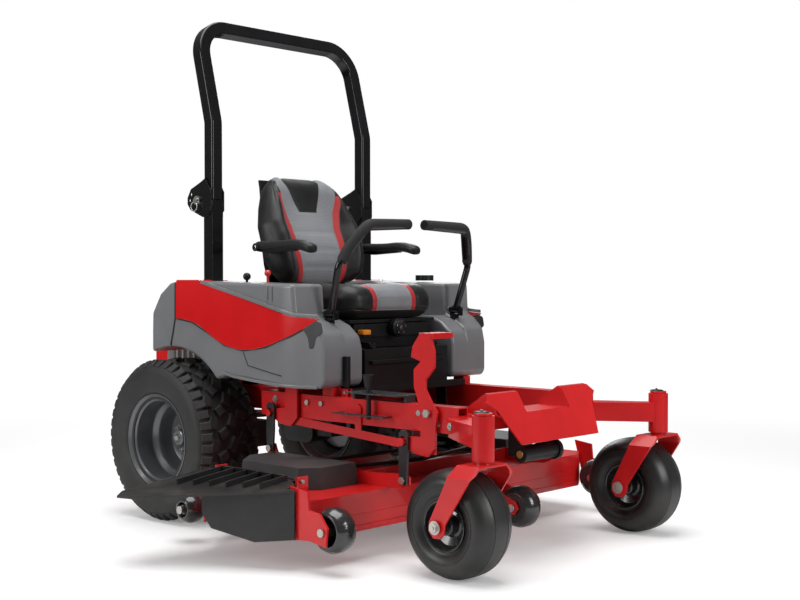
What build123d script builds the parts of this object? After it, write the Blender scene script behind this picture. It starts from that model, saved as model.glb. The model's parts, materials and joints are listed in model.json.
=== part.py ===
from build123d import *
from math import atan2, cos, degrees, hypot, pi, sin
import os

# Zero turn mower.  Millimetres.  +X is forward, +Y is the operator's left, +Z is up.
# The parts are drawn with X = 0 at the drive axle, Y = 0 on the centreline and Z = 0 on the ground,
# and they are written with the origin under the middle of the whole machine.

os.makedirs("parts", exist_ok=True)

# ---------------------------------------------------------------- driving dimensions
running_fit = 0.05            # radial clearance of a shaft that turns in its bore
seat_gap = 0.3                # gap between two pieces that touch but move apart
sheet = 6.0                   # common plate thickness
wall = 5.0                    # common tube and moulding wall

# drive wheels
tyre_radius = 301.0
tyre_width = 290.0
wheel_middle = 430.0          # from the centreline to the middle of the tyre
rim_radius = 172.0            # outside of the rim's flange
bead_radius = 150.0           # where the tyre sits on the rim
flange_depth = 128.0          # from the tyre's middle to the rim's outer flange
disc_depth = 166.0            # from the outer flange in to the wheel disc
hub_radius = 44.0
hub_length = 60.0
axle_radius = 20.0
lug_circle = 72.0
lug_count = 5

# casters
caster_axle_x = 1399.4
caster_trail = 94.9
caster_half_track = 490.9
caster_radius = 166.7
caster_width = 164.0
caster_rim_radius = 89.0
pivot_x = caster_axle_x + caster_trail
pivot_tube_radius = 34.0
pivot_tube_low = 362.0
pivot_tube_high = 497.0
pivot_shaft_radius = 16.0
caster_axle_radius = 9.5
fork_strap = 8.0
fork_side_gap = 12.0
fork_top_gap = 12.0

# main frame
rail_middle = 350.0           # front rails, centreline to the middle of the tube
rail_width = 50.0
rail_low = 412.0
rail_high = 497.0
rail_rear_x = 380.0
rail_front_x = 1300.0
rear_rail_middle = 225.0
frame_rear_x = -440.0
cross_width = 50.0
guard_rear_x = -500.0
guard_half_width = 180.0
hitch_hole_radius = 8.0

# roll bar
post_x = 139.0
post_y = 397.0
post_size = 50.0
post_wall = 3.0
post_foot = 650.0
hinge_x = 88.0
hinge_z = 1189.0
hoop_bend_z = 1478.0
hoop_top = 1870.0
hoop_lean = 93.0
hoop_corner = 120.0

# seat and console
console_front = 750.0
console_half = 222.0
console_top = 650.0
seat_half = 240.0
cushion_low = 753.0
cushion_high = 872.0
cushion_rear = 300.0
cushion_front = 690.0
back_low = 872.0
back_high = 1300.0
back_low_x = 336.0            # front of the backrest at its foot
back_high_x = 196.0           # front of the backrest at its top
back_thickness = 100.0
back_top_half = 167.0
arm_inner = 252.0
arm_width = 52.0
arm_pivot = (268.0, 1018.0)   # x, z
arm_tip_x = 555.0

# fender pods
pod_inner = 240.0
pod_box_inner = 320.0
pod_outer = 480.0
pod_rear = -128.0
pod_top = 884.0
pod_box_front = 640.0
pod_front = 762.0
arch_gap = 42.0

# mower deck
deck_low = 96.0
deck_top = 218.0
deck_half = 765.0
deck_front = 1020.0
deck_rear = 377.0
spindle_y = 495.0
spindle_x = 641.0
spindle_lead = 110.0          # the middle spindle stands this far ahead
blade_gap = 9.0
spindle_radius = 15.0
pulley_radius = 65.0
belt_width = 12.0
hinge_line_y = -683.0
hinge_line_z = 262.0
roller_radius = 70.0
roller_width = 80.0
roller_z = 135.0
rear_roller_radius = 50.0
roller_axle_radius = 8.0
deck_drop = 30.0              # travel below the height shown
deck_rise = 45.0              # travel above it

# deck lift: the four cranks hang the deck on slotted links
crank_y = (383.0, 393.0)
hanger_y = (396.0, 404.0)
rod_y_range = (376.5, 382.0)
front_crank = (1193.0, 474.0)
rear_crank = (556.0, 522.0)
crank_arm = (-100.0, -98.0)   # from a crank's pivot to its hanger bolt
rod_arm = (3.0, -118.0)       # from a crank's pivot to the pull rod's pin
hanger_length = 125.0
crank_pin_radius = 7.0
crank_turn = 9.0              # radians of crank for each metre of deck travel
hanger_turn = -6.0            # radians of hanger for each metre of deck travel
slot_side = (-2.2, 6.8)       # play of the crank pin in the hanger's slot, rear and front
slot_reach = (-0.8, 11.2)     # and below and above

# control levers
lever_y = 335.0
lever_pivot = (690.0, 640.0)
lever_clamp_z = 781.0
lever_radius = 12.5
grip_radius = 18.0
brake_pivot = (775.0, -338.0, 512.0)

blade_radius = hypot(spindle_y, spindle_lead) / 2 - blade_gap
fork_top = caster_radius * 2 + fork_top_gap


# ---------------------------------------------------------------- helpers
def block(x, y, z):
    """A box between the low and high value of each direction."""
    low = [min(pair) for pair in (x, y, z)]
    high = [max(pair) for pair in (x, y, z)]
    size = [b - a for a, b in zip(low, high)]
    return Pos(*[(a + b) / 2 for a, b in zip(low, high)]) * Box(*size)


def side_plate(outline, y):
    """A plate parallel to the machine's side: outline in x and z, between two values of y."""
    face = Plane.XZ * make_face(Polyline(*outline, close=True))
    return extrude(Pos(0, max(y), 0) * face, amount=max(y) - min(y), dir=(0, -1, 0))


def flat_plate(outline, z):
    """A level plate: outline in x and y, between two values of z."""
    face = make_face(Polyline(*outline, close=True))
    return extrude(Pos(0, 0, min(z)) * face, amount=max(z) - min(z), dir=(0, 0, 1))


def cross_plate(outline, x):
    """A plate across the machine: outline in y and z, between two values of x."""
    face = Plane.YZ * make_face(Polyline(*outline, close=True))
    return extrude(Pos(min(x), 0, 0) * face, amount=max(x) - min(x), dir=(1, 0, 0))


def rod_x(x, y, z, radius):
    return Pos((x[0] + x[1]) / 2, y, z) * Rot(0, 90, 0) * Cylinder(radius, abs(x[1] - x[0]))


def rod_y(x, y, z, radius):
    return Pos(x, (y[0] + y[1]) / 2, z) * Rot(90, 0, 0) * Cylinder(radius, abs(y[1] - y[0]))


def rod_z(x, y, z, radius):
    return Pos(x, y, (z[0] + z[1]) / 2) * Cylinder(radius, abs(z[1] - z[0]))


def spun(outline):
    """A ring turned about the Y axis: outline in radius and distance along the axis."""
    return revolve(make_face(Polyline(*outline, close=True)), Axis.Y, 360)


def hex_head(x, y, z, across, height):
    """A hexagon bolt head on the outer side of a plate, its axis along Y."""
    head = extrude(RegularPolygon(across / 2, 6, major_radius=False), height)
    turn = 90 if y < 0 else -90
    return Pos(x, y, z) * Rot(turn, 0, 0) * head


def mirrored(shape):
    """The same piece on the other side of the machine."""
    return mirror(shape, about=Plane.XZ)


def group(*pieces):
    """Several separate solids in one node."""
    solids = []
    for piece in pieces:
        solids.extend(piece.solids())
    return Compound(children=solids)


# ---------------------------------------------------------------- wheels
def drive_rim():
    """Deep dish wheel with its hub and axle stub, drawn for the left side about the Y axis."""
    flange = flange_depth
    disc = flange - disc_depth
    dish = rim_radius * 0.7
    outline = [
        (rim_radius, flange), (rim_radius - 5, flange), (bead_radius - 5, flange - 12),
        (bead_radius - 5, 30), (dish, 5), (dish, disc), (hub_radius, disc),
        (hub_radius, disc - 9), (bead_radius - 5, disc - 9), (bead_radius - 5, 12 - flange),
        (rim_radius - 5, -flange), (rim_radius, -flange), (rim_radius, 8 - flange),
        (bead_radius, 8 - flange), (bead_radius, -20), (bead_radius, 33),
        (bead_radius, flange - 8), (rim_radius, flange - 8),
    ]
    wheel = spun(outline)
    hub_low = disc - 60
    hub = rod_y(0, (hub_low, disc + hub_length), 0, hub_radius)
    axle_end = -(wheel_middle - 190)
    wheel += hub + rod_y(0, (axle_end, hub_low), 0, axle_radius)
    for index in range(lug_count):
        angle = 2 * pi * index / lug_count
        x, z = lug_circle * cos(angle), lug_circle * sin(angle)
        wheel += rod_y(x, (disc, disc + 14), z, 10)
        half_turn = angle + pi / lug_count
        x, z = (dish - 22) * cos(half_turn), (dish - 22) * sin(half_turn)
        wheel -= rod_y(x, (disc - 12, disc + 3), z, 13)
    return wheel


def drive_tyre():
    """Turf tyre, drawn about the Y axis."""
    half = tyre_width / 2
    flange_inner = flange_depth - 8 - seat_gap
    seat = bead_radius + seat_gap
    right = [
        (seat, flange_inner), (rim_radius + 2, flange_inner), (rim_radius + 6, half - 12),
        (235, half), (275, half - 5), (292, half - 18), (tyre_radius, half - 38),
    ]
    inner = [(tyre_radius - 24, half - 45), (262, half - 22), (225, half - 14), (180, 106), (seat, 100)]
    outline = right + [(r, -a) for r, a in reversed(right)]
    cavity = [(r, -a) for r, a in reversed(inner)]
    return spun(outline + cavity + inner)


def caster_wheel():
    """Smooth tyre on its grey rim with a hub tube, drawn about the Y axis."""
    half = caster_width / 2
    seat = caster_rim_radius - 12
    tyre = spun([
        (seat, half - 18), (caster_rim_radius + 4, half - 16), (caster_rim_radius + 12, half - 6),
        (128, half), (150, half - 8), (162, half - 26), (caster_radius, half - 55),
        (caster_radius, 55 - half), (162, 26 - half), (150, 8 - half), (128, -half),
        (caster_rim_radius + 12, 6 - half), (caster_rim_radius + 4, 16 - half), (seat, 18 - half),
    ])
    rim_seat = seat - seat_gap
    bore = caster_axle_radius + running_fit
    rim = spun([
        (rim_seat, half - 18), (rim_seat - 5, half - 14), (rim_seat - 9, half - 34), (30, half - 48),
        (24, half - 6), (bore, half - 6), (bore, 6 - half), (24, 6 - half),
        (30, 48 - half), (rim_seat - 9, 34 - half), (rim_seat - 5, 14 - half), (rim_seat, 18 - half),
    ])
    return tyre, rim


def caster_fork():
    """Bent strap fork with its pivot shaft, drawn for the left side in place."""
    inner = caster_width / 2 + fork_side_gap
    outer = inner + fork_strap
    bottom = caster_radius - 40
    bend = 34.0
    top = fork_top + fork_strap
    section = [
        (-outer, bottom), (-outer, top - bend), (-outer + bend, top), (outer - bend, top),
        (outer, top - bend), (outer, bottom), (inner, bottom), (inner, fork_top - bend + 3),
        (inner - bend + 3, fork_top), (bend - 3 - inner, fork_top), (-inner, fork_top - bend + 3),
        (-inner, bottom),
    ]
    strap = Pos(0, caster_half_track, 0) * cross_plate(section, (caster_axle_x - 45, pivot_x + 45))
    shape = [
        (pivot_x + 38, top + 1), (pivot_x + 38, top - 22), (pivot_x + 20, fork_top - bend - 10),
        (caster_axle_x + 32, caster_radius + 10), (caster_axle_x + 30, caster_radius - 16),
        (caster_axle_x + 12, caster_radius - 34), (caster_axle_x - 14, caster_radius - 34),
        (caster_axle_x - 32, caster_radius - 14), (caster_axle_x - 30, caster_radius + 14),
        (pivot_x - 60, fork_top - bend - 4), (pivot_x - 45, top + 1),
    ]
    reach = (caster_half_track - outer - 1, caster_half_track + outer + 1)
    strap = strap & side_plate(shape, reach)
    shaft = rod_z(pivot_x, caster_half_track, (top - 4, pivot_tube_high + 8), pivot_shaft_radius)
    collar = rod_z(pivot_x, caster_half_track, (top, pivot_tube_low - seat_gap), 27)
    cap = rod_z(pivot_x, caster_half_track, (pivot_tube_high + seat_gap, pivot_tube_high + 8), 28)
    fork = strap + shaft + collar + cap
    fork -= rod_y(caster_axle_x, reach, caster_radius, caster_axle_radius)
    axle = rod_y(caster_axle_x, reach, caster_radius, caster_axle_radius)
    axle += rod_y(caster_axle_x, (reach[0] - 8, reach[0] + 1), caster_radius, 15)
    axle += rod_y(caster_axle_x, (reach[1] - 1, reach[1] + 8), caster_radius, 15)
    return group(fork, axle)


# ---------------------------------------------------------------- frame
def tube_x(x, y_middle, width, z):
    outside = block(x, (y_middle - width / 2, y_middle + width / 2), z)
    inside = block(
        (x[0] - 1, x[1] + 1), (y_middle - width / 2 + wall, y_middle + width / 2 - wall),
        (z[0] + wall, z[1] - wall),
    )
    return outside - inside


def caster_arm():
    """Box arm from the rail's front end out to the pivot tube, left side."""
    start = (rail_front_x - 35, rail_middle - 15)
    end = (pivot_x, caster_half_track)
    length = hypot(end[0] - start[0], end[1] - start[1])
    heading = degrees(atan2(end[1] - start[1], end[0] - start[0]))
    beam = Pos(*start, 432) * Rot(0, 0, heading) * Pos(length / 2, 0, 0) * Box(length, 60, 66)
    hollow = Pos(*start, 432) * Rot(0, 0, heading) * Pos(length / 2, 0, 0)
    beam -= hollow * Box(length + 2, 60 - 2 * wall, 66 - 2 * wall)
    height = (pivot_tube_low, pivot_tube_high)
    tube = rod_z(pivot_x, caster_half_track, height, pivot_tube_radius)
    bore = rod_z(pivot_x, caster_half_track, height, pivot_shaft_radius + running_fit)
    gusset = flat_plate(
        [(rail_front_x - 50, rail_middle + 25), (rail_front_x, rail_middle + 25),
         (pivot_x - 20, caster_half_track - 5), (pivot_x - 24, caster_half_track + 14),
         (rail_front_x - 10, rail_middle + 62)],
        (465 - sheet, 465),
    )
    return beam + gusset + tube - bore


def main_frame():
    height = (rail_low, rail_high)
    rail = tube_x((rail_rear_x, rail_front_x), rail_middle, rail_width, height)
    rear = tube_x((frame_rear_x, rail_rear_x), rear_rail_middle, rail_width, height)
    arm = caster_arm()
    brake_x, brake_y, brake_z = brake_pivot
    ears = block((brake_x - 14, brake_x + 14), (brake_y - 12, brake_y - 7), (rail_high, 524))
    ears += block((brake_x - 14, brake_x + 14), (brake_y + 7, brake_y + 12), (rail_high, 524))
    bearing = block((rear_crank[0] - 22, rear_crank[0] + 22), (340, 365), (rail_high, 546))
    bearing -= rod_y(rear_crank[0], (339, 366), rear_crank[1], 16 + running_fit)
    pin = rod_y(front_crank[0], (rail_middle + 10, crank_y[1] + 5), front_crank[1], 12)
    stand = block((690, 740), (rail_middle - 20, rail_middle + 20), (rail_high, 526))
    side = rail + rear + arm + bearing + pin + stand
    frame = side + mirrored(side) + ears - rod_y(brake_x, (brake_y - 13, brake_y + 13), brake_z, 5)
    cross = (rail_middle + rail_width / 2)
    frame += block((rail_rear_x, rail_rear_x + cross_width), (-cross, cross), height)
    frame += block((rail_front_x - cross_width, rail_front_x), (-cross, cross), (rail_low, 470))
    inner = rear_rail_middle + rail_width / 2
    frame += block((frame_rear_x, frame_rear_x + cross_width), (-inner, inner), height)
    frame += block((frame_rear_x, 40), (-inner, inner), (rail_high, rail_high + sheet))
    guard = block((guard_rear_x, frame_rear_x + 20), (-guard_half_width, guard_half_width), (rail_high, 610))
    guard -= block((guard_rear_x + sheet, frame_rear_x + 21),
                   (-guard_half_width + sheet, guard_half_width - sheet), (rail_high - 1, 611))
    for y in (-100, 0, 100):
        guard -= block((guard_rear_x - 1, guard_rear_x + 8), (y - 36, y + 36), (530, 585))
    guard += block((guard_rear_x, frame_rear_x), (-guard_half_width, guard_half_width),
                   (rail_high, rail_high + sheet))
    tongue = block((guard_rear_x - 10, frame_rear_x), (-45, 45), (440, 450))
    tongue -= rod_z(guard_rear_x + 20, 0, (439, 451), hitch_hole_radius)
    frame += guard + tongue
    return frame - rod_z(-170, 0, (rail_high - 1, rail_high + sheet + 1), 14)


def front_guard():
    """Sloping plate with a notch in its top edge, two hoods behind it and a shelf."""
    top = (1340.0, 535.0)
    foot = (1430.0, 378.0)
    slope = hypot(foot[0] - top[0], foot[1] - top[1])
    half = [(120, 76), (120, 0), (272, 0), (300, 28), (262, 60), (214, slope)]
    outline = half + [(-y, s) for y, s in reversed(half)]
    down = Vector(foot[0] - top[0], 0, foot[1] - top[1])
    plane = Plane(origin=(top[0], 0, top[1]), x_dir=(0, 1, 0), z_dir=Vector(0, 1, 0).cross(down))
    plate = extrude(plane * make_face(Polyline(*outline, close=True)), amount=wall)
    hood_edge = [(1340, 534), (1325, 537), (1250, 486), (1250, 470), (1256, 470), (1256, 483), (1327, 531)]
    web_edge = [(1338, 533), (1325, 535), (1252, 484), (1252, 470), (1374, 470)]
    hood = side_plate(hood_edge, (120, 272))
    hood += side_plate(web_edge, (117, 122)) + side_plate(web_edge, (267, 272))
    shelf = block((rail_front_x, 1374), (-262, 262), (464, 470))
    return plate + hood + mirrored(hood) + shelf


def front_isolator():
    """Ribbed rubber bellows under the right hood, and the damper under the shelf."""
    rings = [(470 + step * 9.0, 27 if step % 2 == 0 else 22) for step in range(4)]
    bellows = rod_z(1312, -205, (470, 505), 19)
    for z, radius in rings:
        bellows += rod_z(1312, -205, (z, z + 8), radius)
    damper = rod_y(1350, (-120, 60), 330, 27)
    damper += rod_y(1350, (60, 76), 330, 34) + rod_y(1350, (76, 90), 330, 15)
    damper += block((1300, 1350), (-118, -100), (320, 464)) + block((1300, 1350), (30, 48), (320, 464))
    return group(bellows, damper)


def foot_platform():
    """Floor pan with a raised heel lip at its front."""
    half = rail_middle - rail_width / 2
    pan = block((430, rail_front_x - cross_width), (-half, half), (rail_low, rail_low + wall))
    for step in range(12):
        x = 800 + step * 34
        pan += block((x, x + 8), (-half + 20, half - 20), (rail_low + wall, rail_low + wall + 3))
    return pan


def height_plates():
    """Height-of-cut plate over the right rail and the perforated shelf beside the rail."""
    top = block((835, 1080), (-408, -300), (518, 522))
    top += block((835, 845), (-372, -328), (rail_high, 518))
    top += block((1070, 1080), (-372, -328), (rail_high, 518))
    rail_face = rail_middle + rail_width / 2
    shelf = block((785, 1020), (-420, -388), (446, 450))
    shelf += block((785, 798), (-388, -rail_face), (446, 450))
    shelf += block((1006, 1020), (-388, -rail_face), (446, 450))
    for step in range(8):
        x = 850 + step * 22
        hole = 8.0 + seat_gap
        top -= rod_z(x, -396, (517, 523), hole)
        shelf -= rod_z(x, -404, (445, 451), hole)
    pin_hole = rod_z(938, -400, (440, 530), 8.0 + seat_gap)
    return (top - pin_hole), (shelf - pin_hole)


def rops_posts():
    """Lower uprights with their feet on the frame and the hinge plates on top."""
    half = post_size / 2
    upright = block((post_x - half, post_x + half), (post_y - half, post_y + half), (post_foot, hinge_z))
    foot = block((post_x - half, post_x + half), (200, post_y - half), (post_foot, post_foot + post_size))
    leg = block((post_x - half, post_x + half), (200, 236), (rail_high, post_foot))
    profile = [
        (post_x + half, hinge_z - 38), (post_x + half, hinge_z + 30), (post_x - 8, hinge_z + 82),
        (post_x - 40, hinge_z + 66), (hinge_x - 42, hinge_z + 44), (hinge_x - 62, hinge_z + 12),
        (hinge_x - 62, hinge_z - 12), (hinge_x - 44, hinge_z - 34), (post_x - half, hinge_z - 62),
        (post_x, hinge_z - 62),
    ]
    inner = half + 0.6
    cheeks = side_plate(profile, (post_y + inner, post_y + inner + sheet))
    cheeks += side_plate(profile, (post_y - inner - sheet, post_y - inner))
    cheeks += block((post_x - half, post_x + half), (post_y + half, post_y + inner),
                    (hinge_z - 62, hinge_z - 20))
    cheeks += block((post_x - half, post_x + half), (post_y - inner, post_y - half),
                    (hinge_z - 62, hinge_z - 20))
    reach = (post_y - 40, post_y + 40)
    for z in (hinge_z + 24, hinge_z + 2, hinge_z - 20):
        back = hinge_x - 50 + abs(z - hinge_z) * 0.35
        cheeks -= rod_y(back, reach, z, 6)
    cheeks -= rod_y(hinge_x, reach, hinge_z, 9 + running_fit)
    post = upright + foot + leg + cheeks
    return group(post, mirrored(post))


def rops_hoop():
    """Folding upper hoop of square tube with a hinge lug at each foot."""
    foot_z = hinge_z + 3
    top_z = hoop_top - post_size / 2
    lean_x = post_x - hoop_lean
    points = [
        (post_x, -post_y, foot_z), (post_x, -post_y, hoop_bend_z), (lean_x, -post_y, top_z),
        (lean_x, post_y, top_z), (post_x, post_y, hoop_bend_z), (post_x, post_y, foot_z),
    ]
    path = FilletPolyline(*points, radius=[90, hoop_corner, hoop_corner, 90])
    start = Plane(origin=points[0], z_dir=(0, 0, 1), x_dir=(1, 0, 0))
    hoop = sweep(start * RectangleRounded(post_size, post_size, 7), path=path)
    lug = block((hinge_x, post_x - post_size / 2), (post_y - 24, post_y + 24), (foot_z, foot_z + 46))
    lug += rod_y(hinge_x, (post_y - 24, post_y + 24), hinge_z, 21)
    lug -= rod_y(hinge_x, (post_y - 25, post_y + 25), hinge_z, 9 + running_fit)
    hoop += lug + mirrored(lug)
    return hoop


def chassis_bolts():
    """Roll bar hinge pins with their rings, crank bolts and frame bolts."""
    pieces = []
    reach = post_y + post_size / 2 + 0.6 + sheet
    for side in (-1, 1):
        pin = rod_y(hinge_x, (side * (post_y - 40), side * (reach + 16)), hinge_z, 9)
        pin += rod_y(hinge_x, (side * reach, side * (reach + 8)), hinge_z, 17)
        ring_middle = Pos(hinge_x - 8, side * (reach + 12), hinge_z - 22)
        ring = ring_middle * Rot(90, 0, 0) * Torus(17, 2.5)
        pieces.append(pin + ring)
        bolt = hex_head(front_crank[0], side * (crank_y[1] + 5), front_crank[1], 24, 9)
        pieces.append(bolt)
        for x in (620, 690, 1140):
            pieces.append(hex_head(x, side * (rail_middle + rail_width / 2), 470, 17, 7))
    return group(*pieces)


# ---------------------------------------------------------------- bodywork
def pod_face(shrink=0.0, ceiling=None):
    """Side outline of a fender pod with the wheel arch."""
    arch = tyre_radius + arch_gap
    axle_z = tyre_radius
    front_low = 552.0
    arch_front = (arch ** 2 - (front_low - axle_z) ** 2) ** 0.5
    arch_rear = axle_z + (arch ** 2 - pod_rear ** 2) ** 0.5
    top = [
        (arch_front, front_low), (311, front_low), (664, 526), (pod_front, 526), (pod_front, 700),
        (pod_box_front + 18, 765), (pod_box_front, 770), (pod_box_front - 6, pod_top), (20, pod_top + 8),
        (-66, 850), (pod_rear, 765), (pod_rear, arch_rear),
    ]
    lines = Polyline(*top)
    arc = ThreePointArc((pod_rear, arch_rear), (0, axle_z + arch), (arch_front, front_low))
    face = make_face(lines + arc)
    if shrink:
        face = offset(face, amount=-shrink, kind=Kind.INTERSECTION)
    return Plane.XZ * face


def fender():
    """Hollow pod over the left drive wheel."""
    step_z = 765.0
    lower_cut = block((-400, 1000), (0, pod_box_inner), (step_z, 1000))
    lower_hollow_cut = block((-400, 1000), (0, pod_box_inner + wall), (step_z - wall, 1000))
    outside = extrude(Pos(0, pod_outer, 0) * pod_face(), amount=pod_outer - pod_inner, dir=(0, -1, 0))
    outside -= lower_cut
    hollow = pod_outer - pod_inner - 2 * wall
    inside = extrude(Pos(0, pod_outer - wall, 0) * pod_face(wall), amount=hollow, dir=(0, -1, 0))
    inside -= lower_hollow_cut
    taper = flat_plate(
        [(600, pod_outer + 1), (pod_front + 1, pod_outer - 48), (pod_front + 1, pod_outer + 1)], (400, 900))
    inner_taper = flat_plate(
        [(600, pod_outer + 1 - wall), (pod_front + 1, pod_outer - 48 - wall),
         (pod_front + 1, pod_outer + 1)], (400, 900))
    pod = (outside - taper) - (inside - inner_taper)
    half = post_size / 2 + 4
    pod -= block((post_x - half, post_x + half), (post_y - half, post_y + half), (600, 950))
    pod -= block((post_x - half, post_x + half), (pod_inner - 1, post_y),
                 (post_foot - 4, post_foot + post_size + 4))
    pod -= block((rear_crank[0] - 52, rear_crank[0] + 56), (pod_inner - 1, 402), (500, 562))
    lever_slot = block((pod_box_front + 8, pod_front - 12), (lever_y - 18, lever_y + 18), (680, 800))
    x, z = lever_pivot
    for y in (lever_y - 46, lever_y + 40):
        ear = block((x - 16, x + 16), (y, y + sheet), (526, z + 18))
        pod += ear - rod_y(x, (y - 1, y + sheet + 1), z, 8 + running_fit)
    return pod - lever_slot


def control_bracket(x, y):
    """Two ears under the pod's top that carry a small lever's pin."""
    ears = block((x - 12, x + 12), (y + 8, y + 12), (846, pod_top + 1))
    ears += block((x - 12, x + 12), (y - 12, y - 8), (846, pod_top + 1))
    return ears - rod_y(x, (y - 14, y + 14), 854, 4 + running_fit)


throttle = (330.0, -400.0)
choke = (420.0, -380.0)
fuel_neck = (480.0, 400.0)


def fenders_and_tank():
    left = fender()
    left -= rod_z(*fuel_neck, (870, 900), 31)
    right = mirrored(fender())
    for x, y in (throttle, choke):
        right += control_bracket(x, y)
        right -= block((x - 26, x + 26), (y - 6.5, y + 6.5), (pod_top - wall - 2, pod_top + 12))
    tank = block((200, 600), (334, 468), (640, 862))
    tank += rod_z(*fuel_neck, (862, 890), 28)
    for x in (240, 540):
        tank += block((x, x + 30), (pod_inner + wall, 334), (645, 665))
    return group(left, right, tank)


def fender_panels():
    """Coloured insert on the outside of each pod."""
    lower = Spline([(24, 752), (150, 738), (270, 672), (400, 648), (560, 676), (700, 740)])
    upper = Polyline([(700, 740), (736, 758), (655, 768), (160, 882), (27, 882), (24, 752)])
    face = Plane.XZ * make_face(lower + upper)
    panel = extrude(Pos(0, pod_outer + 4, 0) * face, amount=4, dir=(0, -1, 0))
    taper = flat_plate([(600, pod_outer), (770, pod_outer - 50), (770, pod_outer + 5), (600, pod_outer + 5)],
                       (700, 800))
    panel -= taper
    return group(panel, mirrored(panel))


def seat_console():
    """Black console under the seat with its base flange and tilt hinge knuckles."""
    body = block((300, console_front), (-console_half, console_half), (505, console_top))
    body -= block((300 + wall, console_front - wall), (wall - console_half, console_half - wall),
                  (500, console_top - wall))
    flange = block((740, 768), (-306, 306), (rail_high + 1, 520))
    ledge = block((console_front, console_front + 18), (-200, 200), (600, 612))
    legs = block((300, 360), (-console_half, wall - console_half), (rail_high, 505))
    legs += block((700, 748), (-console_half, wall - console_half), (rail_low + wall, 505))
    knuckle = block((seat_hinge[0] - 12, seat_hinge[0] + 12), (150, 170), (console_top, seat_hinge[1] + 10))
    knuckle -= rod_y(seat_hinge[0], (149, 171), seat_hinge[1], 6 + running_fit)
    body += flange + ledge + legs + mirrored(legs) + knuckle + mirrored(knuckle)
    return body - rod_y(rear_crank[0], (-console_half - 1, console_half + 1), rear_crank[1], 20)


# ---------------------------------------------------------------- engine and drive
def engine_block():
    case = rod_z(-170, 0, (rail_high + sheet, 640), 130)
    for side in (-1, 1):
        barrel = Pos(-10, 0, 0) * Box(150, 90, 84)
        for step in range(6):
            barrel += Pos(-58 + step * 22, 0, 0) * Box(7, 112, 100)
        barrel += Pos(78, 0, 0) * Box(28, 100, 92)
        place = Pos(-170, 0, 572) * Rot(0, 0, 180 - side * 46) * Pos(200, 0, 0)
        case += place * barrel
    case += rod_z(-170, 0, (400, rail_high + sheet), 14) + rod_z(-170, 0, (405, 440), 62)
    return case


def engine_covers():
    """Fan housing with its round screen, and the air cleaner beside it."""
    housing = rod_z(-170, 0, (642, 745), 165) - rod_z(-170, 0, (641, 739), 159)
    housing += rod_z(-170, 0, (745, 775), 118)
    housing += rod_z(-170, 0, (640.3, 739), 20)
    cleaner = rod_y(-405, (-130, 130), 745, 58) + rod_y(-405, (130, 148), 745, 62)
    cleaner += block((-400, -320), (-40, 40), (700, 735))
    cleaner -= rod_z(-170, 0, (641, 746), 165)
    return group(housing, cleaner)


def muffler():
    can = rod_y(-440, (-140, 140), 560, 42)
    can += rod_x((-515, -450), 100, 558, 15)
    can += block((-450, -430), (-110, -90), (rail_high + sheet, 530))
    can += block((-450, -430), (70, 90), (rail_high + sheet, 530))
    return can


def transaxles():
    """Hydraulic pump and motor beside each drive wheel, hung from the rear rail."""
    case = block((-75, 95), (150, 262), (232, 372))
    case = fillet(case.edges().filter_by(Axis.Y), 32)
    case += rod_y(0, (262, 276), 301, 62)
    case += block((95, 190), (165, 250), (262, 360))
    case += rod_z(140, 205, (360, 396), 14)
    case += rod_z(140, 205, (374, 392), 60)
    case += block((-60, -30), (205, 245), (372, rail_low)) + block((40, 70), (205, 245), (372, rail_low))
    case -= rod_y(0, (188, 280), 301, axle_radius + running_fit)
    return group(case, mirrored(case))


# ---------------------------------------------------------------- mower deck
spindles = {
    "left": (spindle_x, spindle_y),
    "center": (spindle_x + spindle_lead, 0.0),
    "right": (spindle_x, -spindle_y),
}
deck_outline = [
    (deck_front, -690), (975, -deck_half), (530, -deck_half), (deck_rear, -560), (deck_rear, -400),
    (470, -230), (470, 230), (deck_rear, 400), (deck_rear, 560), (530, deck_half), (975, deck_half),
    (deck_front, 690),
]
hanger_front = (front_crank[0] + crank_arm[0], front_crank[1] + crank_arm[1] - hanger_length)
hanger_rear = (rear_crank[0] + crank_arm[0], rear_crank[1] + crank_arm[1] - hanger_length)
corner_roller = (deck_front + roller_radius + 4, 712.0)
front_roller = (1262.0, 0.0)
rear_roller = (385.0, 700.0)
rear_roller_z = roller_z - (roller_radius - rear_roller_radius)


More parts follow.
